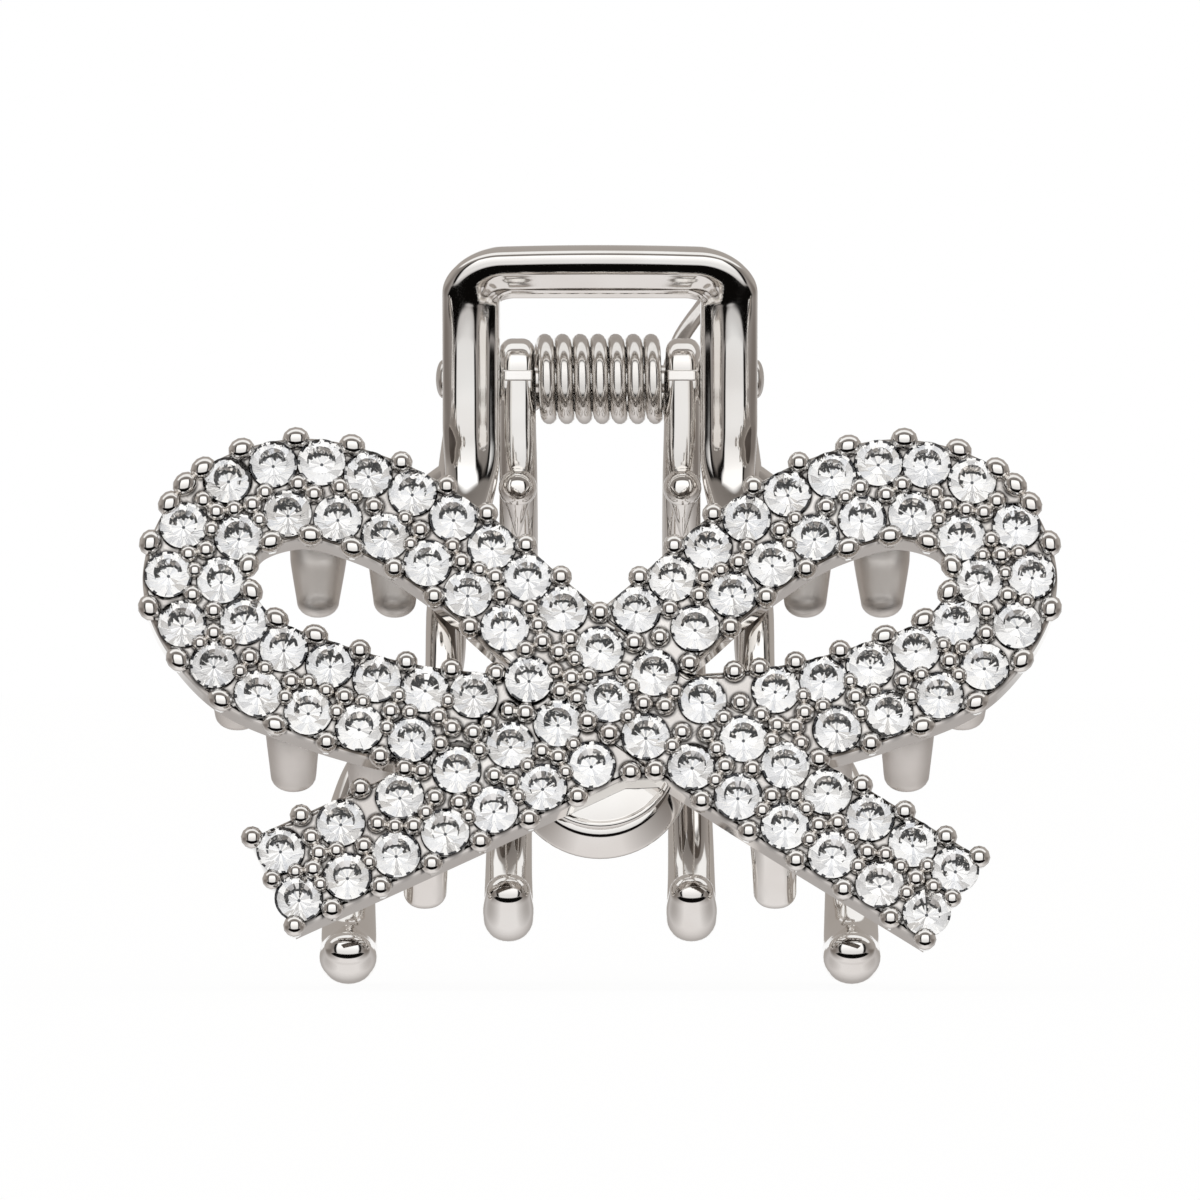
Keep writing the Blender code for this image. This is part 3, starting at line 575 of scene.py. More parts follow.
# %% Front jaw surfaces
FRONT_BELOW = [(6.5, -2.42, -1.5, 1.42, 1.15), (6.5, -2.32, -2.5, 1.42, 1.13),
               (6.47, -2.22, -3.5, 1.4, 1.08), (6.45, -2.3, -4.6, 1.34, 1.02),
               (6.6, -2.85, -6.2, 1.2, 0.97), (7.0, -4.05, -8.2, 1.04, 0.93),
               (7.75, -6.3, -11.2, 0.9, 0.9), (7.85, -7.8, -15.5, 0.95, 0.95),
               (8.15, -7.4, -19.5, 1.08, 1.0), (8.7, -5.0, -23.6, 1.15, 1.0),
               (8.8, -2.2, -25.75, 1.1, 0.95)]
PAD_DROP = -3.0
BRIDGE = [(-7.9, -7.6, -16.9), (-5.0, -6.2, -18.6), on_bow(0, PAD_DROP, -5.9).tolist(), (5.0, -6.2, -18.6),
          (7.9, -7.6, -16.9)]
PAD_RIM = [(0.0, 0.0), (3.5, 0.0), (3.68, -0.05), (3.8, -0.2), (4.0, -0.5), (4.22, -0.85), (4.42, -1.2),
           (4.55, -1.5), (4.52, -1.72), (4.3, -1.8), (0.0, -1.8)]
EAR_STRUT = [(6.1, -1.3, -0.35), (6.9, -1.3, -0.35)]
FRONT_WING = [(7.85, -7.8, -15.4), (11.5, -7.7, -16.3), (15.3, -7.5, -15.8), (18.2, -7.1, -14.3)]
FRONT_TONGUES = ((18.2, -14.0, -16.8), (15.4, -15.6, -19.9), (11.4, -16.0, -21.0))


def front_jaw_parts():
    """The loop with its bars, bridge and pad, then the right half's hub, wing and tongues and their mirror
    images. A tongue is given by its x, the height of its root and the height of its tip."""
    parts = [running_bar(rise=7.8, top_bar=2.35, offset=2.4, lean=FRONT_LEAN, way=-1.0, low=0.6,
                         below=FRONT_BELOW)]
    parts.append(bar(BRIDGE, [0.95, 0.9, 0.9, 0.9, 0.95], [0.9] * 5, 60, side=(0, 1, 0)))
    parts.append(turned(smooth_path(PAD_RIM, 60), on_bow(0, PAD_DROP, -4.86), BOW_OUT, BOW_UP, 72))
    halves = [barrel(WINDOW_HALF + 0.12, HANDLE_HALF - 0.08, radius=1.42)]
    halves.append(bar(EAR_STRUT, [0.9, 0.9], [0.9, 0.9], 6, side=(0, 1, 0)))
    halves.append(bar(FRONT_WING, [1.0, 0.9, 0.9, 1.0], [0.95, 0.85, 0.85, 0.95], 40, side=(0, 1, 0)))
    for x, root, tip in FRONT_TONGUES:
        tongue = [(x, -7.4, root), (x, -6.9, root - 0.35 * (root - tip)), (x, -4.3, tip)]
        halves.append((*bar(tongue, [1.5, 1.42, 1.15], [0.95, 1.0, 0.9], 30, power=2.2, around=28), 1))
    return parts + halves + [mirrored(part) for part in halves]


make_piece("front_jaw_casting", from_hinge(front_jaw_parts()), [PLATED, SATIN],
           stands_for=["front_jaw"])

# %% [markdown]
# ## The back jaw
# The back jaw hangs on the same pin by two knuckles, rolled round it inside the front jaw's ears. From
# each knuckle a flat rib with a small ball on its front runs down to a hook that curls forward and up,
# and the loop's own bars end in two wider hooks. A knuckle is built up from barrels, because one
# turned shape could not show the cap that stands forward of the pin.

# %% Back jaw paths, each with its half widths and half depths
BACK_BELOW = [(6.55, 3.05, -2.3, 1.38, 1.12), (7.05, 3.3, -4.6, 1.15, 1.05), (7.7, 5.2, -9.8, 0.95, 0.95),
              (7.9, 6.45, -14.8, 0.95, 0.95), (8.3, 6.6, -16.6, 0.9, 0.9)]
HOOK = [(7.85, 6.2, -13.4), (8.1, 6.55, -16.0), (9.4, 6.65, -18.0), (11.5, 6.5, -19.3), (12.5, 5.95, -21.5),
        (12.7, 4.7, -25.2), (12.7, 3.1, -27.6), (12.7, 1.6, -28.85), (12.7, 0.2, -29.2),
        (12.7, -1.0, -29.1), (12.7, -2.2, -28.7)]
HOOK_WIDTHS = [0.9, 0.95, 1.0, 1.05, 1.15, 1.3, 1.38, 1.45, 1.47, 1.45, 1.2]
HOOK_DEPTHS = [0.9, 0.95, 1.0, 1.0, 1.05, 1.15, 1.28, 1.36, 1.36, 1.22, 0.85]
RIB = [(4.15, -0.85, 0.2), (4.15, -0.6, -2.2), (4.12, -0.2, -4.6), (4.15, 3.2, -9.5), (4.35, 5.0, -15.5),
       (4.55, 4.4, -21.5), (4.62, 2.9, -25.2), (4.62, 1.5, -26.75), (4.62, 0.2, -27.15),
       (4.62, -1.0, -26.65), (4.62, -2.2, -25.85)]
RIB_WIDTHS = [0.92, 0.93, 0.96, 1.0, 1.05, 1.12, 1.2, 1.27, 1.29, 1.29, 1.12]
RIB_DEPTHS = [0.8, 0.8, 0.8, 0.85, 0.95, 1.05, 1.18, 1.25, 1.25, 1.15, 0.92]
KNUCKLE = (3.3, 5.05)
CAP_LIFT = np.array([0.0, -0.35, 0.65])
COLLAR = [(4.15, -1.45, 0.42), (4.15, -1.47, -0.12)]
BROW = [(4.15, -1.36, 0.5), (4.15, -1.25, 1.0), (4.15, -0.8, 1.45)]
PEG = (4.15, -1.25, -5.5)
PEG_RADIUS = 0.97
PEG_STEM = [(4.1, 1.4, -5.2), (4.15, -1.0, -5.5)]
PEG_FOOT = [(4.15, -1.3, -5.75), (4.15, -0.9, -6.6), (4.15, 0.1, -7.8)]
TIE = [(4.1, 0.6, -3.0), (5.4, 1.9, -3.0), (6.7, 3.0, -2.7)]
BACK_WING = [(7.1, 3.5, -4.8), (10.4, 5.2, -6.8), (14.3, 6.4, -7.3)]
BACK_TONGUES = ((10.4, 5.2, -6.5), (14.3, 6.4, -7.0))
BACK_TONGUE_TIP = -11.2
print("hooks end %.1f mm below the hinge" % -min(z for _, _, z in HOOK))


# %% Back jaw surfaces
def knuckle_parts():
    """A hub round the pin, a rounder cap over its top and front, and the raised collar where the rib's
    strip is folded over: each a barrel or a short boxy bar."""
    hub = barrel(*KNUCKLE, radius=1.5, edge=0.3)
    cap = barrel(*KNUCKLE, radius=1.4, edge=0.6)
    lifted = (cap[0] + CAP_LIFT, cap[1])
    collar = bar(COLLAR, [0.8, 0.8], [0.33, 0.33], 6, power=5.0, ends=(False, False))
    brow = bar(BROW, [0.77, 0.74, 0.6], [0.34, 0.3, 0.24], 14, power=3.0)
    return [hub, lifted, collar, brow]


def back_jaw_parts():
    """The loop with its bars, then the right half's hooks, rib, knuckle, peg, tie, wing and tongues and
    their mirror images."""
    parts = [running_bar(rise=9.85, top_bar=1.75, offset=3.7, lean=BACK_LEAN, way=1.0, low=0.9,
                         below=BACK_BELOW)]
    halves = [bar(HOOK, HOOK_WIDTHS, HOOK_DEPTHS, 120, power=2.05, around=32)]
    halves.append(bar(RIB, RIB_WIDTHS, RIB_DEPTHS, 130, power=2.1, around=32))
    halves += knuckle_parts()
    halves.append(ball(PEG, PEG_RADIUS))
    halves.append(bar(PEG_STEM, [0.55, 0.5], [0.55, 0.5], 6))
    halves.append(bar(PEG_FOOT, [0.84, 0.5, 0.12], [0.7, 0.45, 0.2], 20, power=2.0))
    halves.append(bar(TIE, [0.8] * 3, [0.8] * 3, 20, side=(0, 0, 1)))
    halves.append(bar(BACK_WING, [0.95, 0.9, 1.0], [0.95, 0.9, 1.0], 30, side=(0, 0, 1)))
    for x, y, root in BACK_TONGUES:
        tongue = [(x, y, root), (x, y + 0.2, root - 2.2), (x, y - 0.9, BACK_TONGUE_TIP)]
        halves.append((*bar(tongue, [1.5, 1.42, 1.08], [1.0, 1.0, 0.85], 26, power=2.2, around=28), 1))
    return parts + halves + [mirrored(part) for part in halves]


make_piece("back_jaw_casting", from_hinge(back_jaw_parts()), [PLATED, SATIN], "back",
           ["back_jaw"])

# %% [markdown]
# ## The hinge pin and the torsion spring
# A plain pin with two domed heads carries both jaws. The spring is one length of wire: it hooks behind
# the front handle, winds round the pin in close turns and ends on the back handle. When the clip opens,
# the back leg swings and the turns share the twist; here the wire is one fixed piece that follows
# neither jaw. A profile carried along a helix gives every turn its true slope.

# %% Pin: a profile of (radius, height) turned round the hinge axis
PIN_RADIUS = 0.7
PIN_HALF = 7.9
HEAD_RADIUS = 0.97
HEAD_RISE = 0.36


def pin_parts():
    """Half a pin is a shaft, a small step and a domed head; the other half is its mirror image."""
    turn = np.linspace(0.0, math.pi / 2, 10)
    head = np.stack([HEAD_RADIUS * np.cos(turn), PIN_HALF + 0.03 + HEAD_RISE * np.sin(turn)], axis=1)
    step = [[PIN_RADIUS, 0.0], [PIN_RADIUS, PIN_HALF], [0.9, PIN_HALF], [HEAD_RADIUS, PIN_HALF + 0.02]]
    right = np.vstack([step, head])
    profile = np.vstack([right[::-1] * np.array([1.0, -1.0]), right])
    return [turned(profile, (0, 0, 0), (1, 0, 0), (0, 0, 1), 40)]


make_piece("hinge_pin_rivet", from_hinge(pin_parts()), [STEEL], stands_for=["hinge_pin"],
           sharp=40.0)

# %% Spring: legs and turns as one path
COIL_RADIUS = 1.88
COIL_PITCH = 0.893
COIL_TURNS = 6.9
COIL_START = -40.0
COIL_MIDDLE = 3.5
LEVEL = 0.75
WIRE = 0.42
WRAP_X = -5.82
WRAP_RADIUS = 2.05
BACK_LEG_X = 5.85
BACK_LEG_OFF = 2.2
BACK_LEG_RISE = 7.0
SPRING_ROWS = 620
AROUND_WIRE = 14


def spring_path():
    """Front leg, then y = r cos(turn), z = r sin(turn) with x in step, then the back leg. Close turns
    stand nearly upright at the front, so x moves on mostly behind: x ~ turn + level * sin(turn)."""
    turn = np.linspace(math.radians(COIL_START), math.radians(COIL_START + 360.0 * COIL_TURNS), 460)
    x = COIL_PITCH / (2 * math.pi) * (turn + LEVEL * np.sin(turn))
    x = x - COIL_PITCH * COIL_MIDDLE
    coil = np.stack([x, COIL_RADIUS * np.cos(turn), COIL_RADIUS * np.sin(turn)], axis=1)
    over = np.linspace(math.radians(-10.0), math.pi / 2 + FRONT_LEAN, 30)
    wrap = np.stack([np.full(30, WRAP_X), WRAP_RADIUS * np.cos(over), WRAP_RADIUS * np.sin(over)], axis=1)
    tip = wrap[-1] + np.array([0.0, -math.cos(FRONT_LEAN), -math.sin(FRONT_LEAN)])
    behind = smooth_path([wrap[0], (-5.0, 2.25, -0.8), (coil[0, 0] - 0.6, 2.0, -1.25), coil[0]], 24)
    away = np.array([0.0, math.cos(BACK_LEAN), -math.sin(BACK_LEAN)])
    rise = np.array([0.0, math.sin(BACK_LEAN), math.cos(BACK_LEAN)])
    rest = BACK_LEG_X * RIGHT + BACK_LEG_OFF * away + BACK_LEG_RISE * rise
    back = smooth_path([coil[-1], (3.35, 2.05, -0.4), (3.9, 2.6, 1.65), (5.2, 4.5, 3.7), rest], 40)
    return np.vstack([tip, wrap[::-1], behind[1:-1], coil, back[1:]])


def spring_parts():
    """A circle carried along the path, small at both cut ends."""
    path = evenly(spring_path(), SPRING_ROWS)
    ahead = unit(np.gradient(path, axis=0))
    across = unit(RIGHT - (ahead @ RIGHT)[:, None] * ahead)
    facing = np.cross(ahead, across)
    shape = rounded(AROUND_WIRE, 2.0) * WIRE
    size = np.ones(len(path))
    size[[0, -1]] = 0.0
    size[[1, -2]] = 0.8
    circle = across[:, None] * shape[:, :1] + facing[:, None] * shape[:, 1:]
    points = path[:, None] + size[:, None, None] * circle
    return [(points.reshape(-1, 3), grid_faces(len(path), AROUND_WIRE))]


spring = make_piece("torsion_spring_wire", from_hinge(spring_parts()), [STEEL], None,
                    ["torsion_spring"])
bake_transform(spring)

# %% [markdown]
# ## The disc behind the bow
# A turned disc lies between the bow and the pad of the front jaw, and shows below the crossing as a
# bright face with a fine step near its edge. It is a profile turned round the bow's own axis.

# %% Disc
DISC_OUT = -2.61
STEPPED = [(0.0, 0.0), (3.45, 0.0), (3.52, -0.05), (3.6, -0.05), (3.68, 0.0), (3.8, -0.02), (3.88, -0.12),
           (3.9, -0.3), (3.86, -0.5), (3.74, -0.6), (3.5, -0.66), (3.42, -0.9), (3.42, -2.2), (0.0, -2.2)]
disc_parts = [turned(STEPPED, on_bow(0, PAD_DROP, DISC_OUT), BOW_OUT, BOW_UP, 96)]
make_piece("mounting_disc_turned", from_hinge(disc_parts), [PLATED],
           stands_for=["mounting_disc"], sharp=50.0)

# %% [markdown]
# ## The layout of the bow
# The bow is a ribbon two stones wide. One band forms the left loop and runs over the crossing into the
# right tail; a second forms the right loop and passes under it; the left tail lies below both. The
# stones sit in rows along these bands, so their places follow from each band's centre line, a step to
# either side of it and a count. All of it is measured in stone pitches, as a setter would lay it out.

# %% Centre lines and rows of stones
PITCH = 2.5
ROW_STEP = 0.5275 * PITCH
STONE_RADIUS = 0.478 * PITCH
LAYER = 0.12
LOOP = [(-2.45, -0.88), (-3.6, -0.74), (-5.5, -0.24), (-7.3, 0.62), (-8.1, 2.1), (-7.45, 3.45),
        (-6.1, 3.96), (-4.45, 3.58), (-2.75, 2.52), (-1.3, 1.22)]
UNDER_END = [(-0.4, 0.45)]
RIGHT_TAIL = [(0.0, 0.12), (2.3, -1.5), (7.0, -4.52)]
LEFT_TAIL = [(0.7, -0.75), (-2.5, -2.28), (-6.5, -4.16)]
LOWER_BAND = [(-3.2, -0.8), (0.0, -0.95), (3.2, -0.8)]
CROSSING = [(0.0, 0.6), (1.08, 0.12), (0.16, -0.43), (2.04, -0.45), (-1.42, -0.02)]


def in_mm(points, side=1.0):
    """Places given in pitches, on either side of the middle."""
    return np.array(points, float) * np.array([side * PITCH, PITCH])


def sideways(path):
    """Unit vectors to the left of a path in the bow's plane."""
    ahead = unit(np.gradient(path, axis=0))
    return np.stack([-ahead[:, 1], ahead[:, 0]], axis=1)


def row(path, step, first, last, count, crowd=1.0):
    """Places on a line beside a band, between two lengths of the band in pitches: length = first + (last
    - first) * share ^ crowd, so they are spaced evenly where crowd is 1."""
    line = path + step * sideways(path)
    ends = np.interp(np.array([first, last]) * PITCH, along(path), along(line))
    at = ends[0] + (ends[1] - ends[0]) * np.linspace(0.0, 1.0, count) ** crowd
    return np.stack([np.interp(at, along(line), line[:, i]) for i in range(2)], axis=1)


OVER = smooth_path(in_mm(LOOP + RIGHT_TAIL), 300)
UNDER = smooth_path(in_mm(LOOP + UNDER_END, -1.0), 260)
TAIL = smooth_path(in_mm(LEFT_TAIL), 100)
LOWER = smooth_path(in_mm(LOWER_BAND), 60)
BANDS = ((OVER, 0.0), (UNDER, LAYER), (TAIL, 2 * LAYER), (LOWER, 3 * LAYER))


def stone_rows():
    """Rows of stones as (CAD node name or its stem, places, depth of the band's face). The right loop is
    the left one mirrored, with one stone less at the start of its lower rows."""
    rows = []
    for name, side in SIDES:
        less = 0 if side < 0 else 1
        runs = (("outer_lower", 1, 1.22 + 0.95 * less, 7.71, 8 - less),
                ("outer_upper", 1, 8.72, 15.82, 9),
                ("inner_lower", -1, 0.13 + 1.02 * less, 8.12, 8 - less),
                ("inner_upper", -1, 9.62, 15.2, 6))
        for run, way, start, end, count in runs:
            places = row(OVER, way * ROW_STEP, start, end, count) * np.array([-side, 1.0])
            rows.append(("stones_%s_loop_%s" % (name, run), places, LAYER * less))
    rows.append(("stone_right_tail_upper", row(OVER, ROW_STEP, 20.36, 25.37, 6), 0.0))
    rows.append(("stone_right_tail_lower", row(OVER, -ROW_STEP, 18.72, 25.37, 7), 0.0))
    rows.append(("stone_left_tail_upper", row(TAIL, -ROW_STEP, 1.46, 7.57, 6, 1.1), 2 * LAYER))
    rows.append(("stone_left_tail_lower", row(TAIL, ROW_STEP, 1.22, 7.66, 7), 2 * LAYER))
    rows.append(("stone_crossing", in_mm(CROSSING), 0.0))
    return rows


ROWS = stone_rows()
STONES = np.concatenate([places for _, places, _ in ROWS])
STONE_DEPTHS = np.concatenate([np.full(len(places), depth) for _, places, depth in ROWS])
print(len(STONES), "stones in", len(ROWS), "rows")

# %% [markdown]
# ## The bands
# A pavé band is a plate with a conical seat for every stone. Cutting ninety cones with Booleans would
# work, but the plate is simpler as a height: the face is level, and near a stone it drops along the
# seat's cone. The closed profile of face, rounded edges, walls and back is carried along the centre
# line, and the seats then press its face down.

# %% Band surfaces
HALF_BAND = 2.6
FACE = 0.33
BACK = -2.2
EDGE = 0.42
FOOT = 0.15
GRID = 0.1
SEAT_POINT = -0.72
SEAT_SLOPE = 0.86
SEAT_REACH = 1.45
SEAT_FLOOR = -1.4


def nearest_stone(places):
    """Distance from each place to its nearest stone, and that stone's number."""
    apart = np.linalg.norm(places[:, None] - STONES[None], axis=2)
    return apart.min(axis=1), apart.argmin(axis=1)


def band_parts(path, depth):
    """Profile (t across, h out) carried along the band; near a stone, h is held below the seat's cone,
    point + slope * distance, which runs parallel to the stone's back and ends in a fine collar round the
    girdle."""
    line = evenly(path, int(along(path)[-1] / GRID))
    turn = np.linspace(0.0, math.pi / 2, 5)
    face = np.linspace(-HALF_BAND + EDGE, HALF_BAND - EDGE, int(2 * HALF_BAND / GRID))
    level = np.stack([face, np.full(len(face), FACE)], axis=1)
    edge = np.stack([HALF_BAND - EDGE + EDGE * np.sin(turn), FACE - EDGE + EDGE * np.cos(turn)], axis=1)
    wall = np.array([[HALF_BAND, -0.6], [HALF_BAND, BACK + FOOT], [HALF_BAND - FOOT, BACK]])
    right = np.vstack([edge[1:], wall])
    profile = np.vstack([level, right, right[::-1] * np.array([-1.0, 1.0])])
    places = (line[:, None] + sideways(line)[:, None] * profile[:, :1]).reshape(-1, 2)
    out = np.tile(profile[:, 1], len(line)) - depth
    apart, number = nearest_stone(places)
    cone = SEAT_POINT + SEAT_SLOPE * apart - STONE_DEPTHS[number]
    pressed = np.where((apart < SEAT_REACH) & (out > SEAT_FLOOR), np.minimum(out, cone), out)
    points = on_bow(places[:, 0], places[:, 1], pressed)
    column = np.arange(len(profile))
    ends = [(points[at : at + len(column)], column[None]) for at in (0, len(points) - len(column))]
    finish = np.where(column == len(face) + len(right) - 1, 2, 0)
    finish = np.where(column < len(face) - 1, 1, finish)
    return [(points, grid_faces(len(line), len(column)), np.tile(finish, len(line) - 1))] + ends


band_surfaces = sum((band_parts(*band) for band in BANDS), [])
bands = make_piece("bow_bands_cast", from_hinge(band_surfaces), [PLATED, GROUND, ROUGH_SHADED_BACK],
                   stands_for=["bow_setting"], sharp=38.0)

# %% [markdown]
# ## The prongs
# Little beads hold the stones: one wherever stones leave a gap, along both edges and down the middle.
# The setter raises a bead in every gap that is large enough, and the code does the same. It measures
# how far each spot of the bands is from the stones, takes the roomiest spot first, and skips spots
# that are too close to a bead already raised or that lie under another band.

# %% Places for the beads
SPOT_STEP = 0.12
SPOT_OFFSETS = np.linspace(-2.5, 2.5, 41)
EDGE_FROM = 2.1
LEAST_ROOM = 0.1
EDGE_APART = 1.2
FACE_APART = 0.87


def bead_spots():
    """Spots on all bands as columns x, y, direction of the band, depth of its face, offset from its centre
    line, and room, which is the distance to the nearest stone's rim. Spots under a band that lies above
    are left out."""
    found = []
    for number, (path, depth) in enumerate(BANDS):
        line = evenly(path, int(along(path)[-1] / SPOT_STEP))
        left = sideways(line)
        places = (line[:, None] + left[:, None] * SPOT_OFFSETS[:, None]).reshape(-1, 2)
        shown = np.ones(len(places), bool)
        for other, _ in BANDS[:number]:
            apart = np.linalg.norm(places[:, None] - other[None], axis=2)
            nearest = apart.argmin(axis=1)
            beyond = (nearest == 0) | (nearest == len(other) - 1)
            shown &= beyond | (apart.min(axis=1) > HALF_BAND + 0.12)
        ways = np.repeat(np.arctan2(-left[:, 0], left[:, 1]), len(SPOT_OFFSETS))
        offsets = np.tile(SPOT_OFFSETS, len(line))
        room = nearest_stone(places)[0] - STONE_RADIUS
        found.append(np.column_stack([places, ways, np.full(len(places), depth), offsets, room])[shown])
    return np.concatenate(found)


def bead_places():
    """The roomiest spot first, then the next that is not too close to a bead already raised."""
    spots = bead_spots()
    room = spots[:, 5].copy()
    chosen = []
    while room.max() > LEAST_ROOM:
        best = spots[room.argmax()]
        chosen.append(best)
        reach = EDGE_APART if abs(best[4]) > EDGE_FROM else FACE_APART
        room[np.linalg.norm(spots[:, :2] - best[:2], axis=1) < reach] = 0.0
    return np.array(chosen)


BEAD_X, BEAD_Y, BEAD_WAY, BEAD_DEPTH, BEAD_OFFSET, BEAD_ROOM = bead_places().T
AT_EDGE = np.abs(BEAD_OFFSET) > EDGE_FROM
BEAD_SIZES = np.where(AT_EDGE, 0.57, np.clip(0.4 + 0.3 * BEAD_ROOM, 0.43, 0.52))
print(len(BEAD_X), "beads, roomiest gap %.2f mm" % BEAD_ROOM.max())

# %% Bead surfaces: a dome on a tapering post, drawn out along the edge at the ends of the loops
BEAD_LIFT = 0.08
BEAD_POST = [[0.9, -0.45], [0.72, -1.6], [0.0, -2.2]]
LOOP_ENDS = (12.0, -3.0)
DRAWN = 1.2
AROUND_BEAD = 12


def bead_parts():
    """All beads at once: a profile of (radius, height) in shares of the bead's size, turned, stretched
    along the band and laid on the bow."""
    turn = np.linspace(0.0, math.pi / 2, 5)
    dome = np.stack([np.sin(turn), np.cos(turn)], axis=1)
    profile = np.vstack([dome, BEAD_POST])
    around = np.linspace(0.0, 2 * math.pi, AROUND_BEAD, endpoint=False)
    at_end = AT_EDGE & (np.abs(BEAD_X) > LOOP_ENDS[0]) & (BEAD_Y > LOOP_ENDS[1])
    drawn = np.where(at_end, DRAWN, 1.0)[:, None, None]
    columns = (BEAD_X, BEAD_Y, BEAD_WAY, BEAD_DEPTH, BEAD_SIZES)
    x, y, way, depth, size = (column[:, None, None] for column in columns)
    lengthways = size * drawn * profile[:, :1] * np.cos(around)
    sideways_on = size * profile[:, :1] * np.sin(around)
    across = x + lengthways * np.cos(way) - sideways_on * np.sin(way)
    up = y + lengthways * np.sin(way) + sideways_on * np.cos(way)
    points = on_bow(across, up, FACE + BEAD_LIFT - depth + size * profile[:, 1:])
    faces = grid_faces(len(profile), AROUND_BEAD)
    every = faces[None] + (np.arange(len(BEAD_X)) * len(profile) * AROUND_BEAD)[:, None, None]
    return [(points.reshape(-1, 3), every.reshape(-1, 4))]


make_piece("bow_prong_beads", from_hinge(bead_parts()), [PLATED])

# %% Recesses: painted shade in the corners round stones and beads
RECESS_REACH = 0.14
FACE_FROM = -0.5


def mark_recesses(made):
    """recess = 1 - gap / reach on the face, where gap is the distance in the bow's plane to the nearest
    stone or bead, and 0 on the walls and the back. It sets how much painted shade darkens the plating."""
    places = np.empty(3 * len(made.data.vertices))
    made.data.vertices.foreach_get("co", places)
    places = places.reshape(-1, 3) / MM - HINGE - on_bow(0, 0, 0)
    flat = np.stack([places[:, 0], places @ BOW_UP], axis=1)
    gap = nearest_stone(flat)[0] - STONE_RADIUS
    for x, y, size in zip(BEAD_X, BEAD_Y, BEAD_SIZES):
        gap = np.minimum(gap, np.linalg.norm(flat - np.array([x, y]), axis=1) - size)
    recess = made.data.attributes.new("recess", "FLOAT", "POINT")
    at_face = places @ BOW_OUT > FACE_FROM
    recess.data.foreach_set("value", np.where(at_face, np.clip(1 - gap / RECESS_REACH, 0.0, 1.0), 0.0))
    print("recesses marked on", len(gap), "points")


mark_recesses(bands)

# %% [markdown]
# ## The rhinestones
# Each stone is a round cut: a flat table, a crown of stars, kites and girdle facets, a thin girdle, and
# a pointed back of wedges. The front is clear glass and the back carries the foil, so light enters,
# bounces between the mirrored wedges and leaves again, which draws the pinwheel seen in every stone;
# light and dark tones painted on the foil's facets, painted reflections, make it stronger.
# Facets have to stay flat, so a stone is a list of corners and not a smooth grid.

# %% One stone: rings of corners, sixteen facets round
FOLD = 16
GIRDLE_LOW = 0.33
GIRDLE_TOP = 0.42
TABLE = 0.83
CULET = -0.645
TABLE_SHARE = 0.6
MEET_SHARE = 0.8
OUTER_SHARE = 0.8
CULET_SHARE = 0.07


def ring(share, turns, height):
    """Corners at one height, at a share of the stone's radius."""
    r = share * STONE_RADIUS
    return np.stack([r * np.cos(turns), r * np.sin(turns), np.full(len(turns), height)], axis=1)


def cut_stone():
    """Corners and facets. Crown kites lie on planes through the table's corners; the points where they
    meet follow from those planes: height = crown * (1 - r * cos(half step)) / (1 - table share). The back
    is a blunt pyramid of wedges; the middle of a wedge's edge lies on its chord, so the wedge is flat."""
    step = 2 * math.pi / FOLD
    at = np.arange(FOLD) * step
    fine = np.arange(2 * FOLD) * step / 2
    inside = 1 - MEET_SHARE * math.cos(step / 2)
    meet = GIRDLE_TOP + (TABLE - GIRDLE_TOP) * inside / (1 - TABLE_SHARE)
    chord = np.where(np.arange(2 * FOLD) % 2, 1.0, math.cos(step / 2))
    blunt = CULET + CULET_SHARE * (GIRDLE_LOW - CULET)
    outer = CULET + OUTER_SHARE * (GIRDLE_LOW - CULET)
    corners = np.vstack([
        ring(TABLE_SHARE, at, TABLE), ring(MEET_SHARE, at + step / 2, meet), ring(1.0, fine, GIRDLE_TOP),
        ring(chord, fine, GIRDLE_LOW), ring(OUTER_SHARE * chord, fine, outer),
        ring(CULET_SHARE, at + step / 2, blunt),
    ])
    t, m, g, h, o, c = (FOLD * rings for rings in (0, 1, 2, 4, 6, 8))
    k = np.arange(FOLD)
    n, p = (k + 1) % FOLD, (k - 1) % FOLD
    f = np.arange(2 * FOLD)
    after = (f + 1) % (2 * FOLD)
    crown = [(t + k, m + k, t + n), (t + k, m + p, g + 2 * k, m + k), (m + k, g + 2 * k, g + 2 * k + 1),
             (m + k, g + 2 * k + 1, g + 2 * n)]
    back = [(g + f, h + f, h + after, g + after), (h + f, o + f, o + after, h + after),
            (c + p, o + 2 * p + 1, o + 2 * k, o + 2 * k + 1, c + k)]
    clear, foiled = (sum((np.stack(sort, 1).tolist() for sort in sorts), []) for sorts in (crown, back))
    return corners, [list(range(FOLD))] + clear, foiled + [list(range(c, c + FOLD))]


CORNERS, CLEAR, FOILED = cut_stone()
print("a stone has", len(CLEAR), "clear facets and", len(FOILED), "foiled ones")


# %% Stones in their seats, each turned and tipped a little
SEED = 11
TIP = 0.02
# Painted reflections: girdle facets dark or light, wedges light and dark in turn, and a dark culet
DARK_GIRDLE, LIGHT_GIRDLE, DARK_CHANCE = 0.08, 0.95, 0.35
WEDGE_TONE, WEDGE_SWING, WEDGE_LUCK = 0.88, 0.12, (-0.18, 0.1)
CULET_TONE = 0.12


def set_stones(places, depth, luck):
    """Copies the cut to every place: turn it, tip it by a degree or two, and lay it on the bow."""
    turns = luck.uniform(0.0, 2 * math.pi, len(places))
    tips = luck.normal(0.0, TIP, (len(places), 2))
    cos, sin = np.cos(turns)[:, None], np.sin(turns)[:, None]
    x = CORNERS[:, 0] * cos - CORNERS[:, 1] * sin
    y = CORNERS[:, 0] * sin + CORNERS[:, 1] * cos
    z = CORNERS[:, 2] + (x * tips[:, :1] + y * tips[:, 1:]) - depth
    return on_bow(x + places[:, :1], y + places[:, 1:], z)


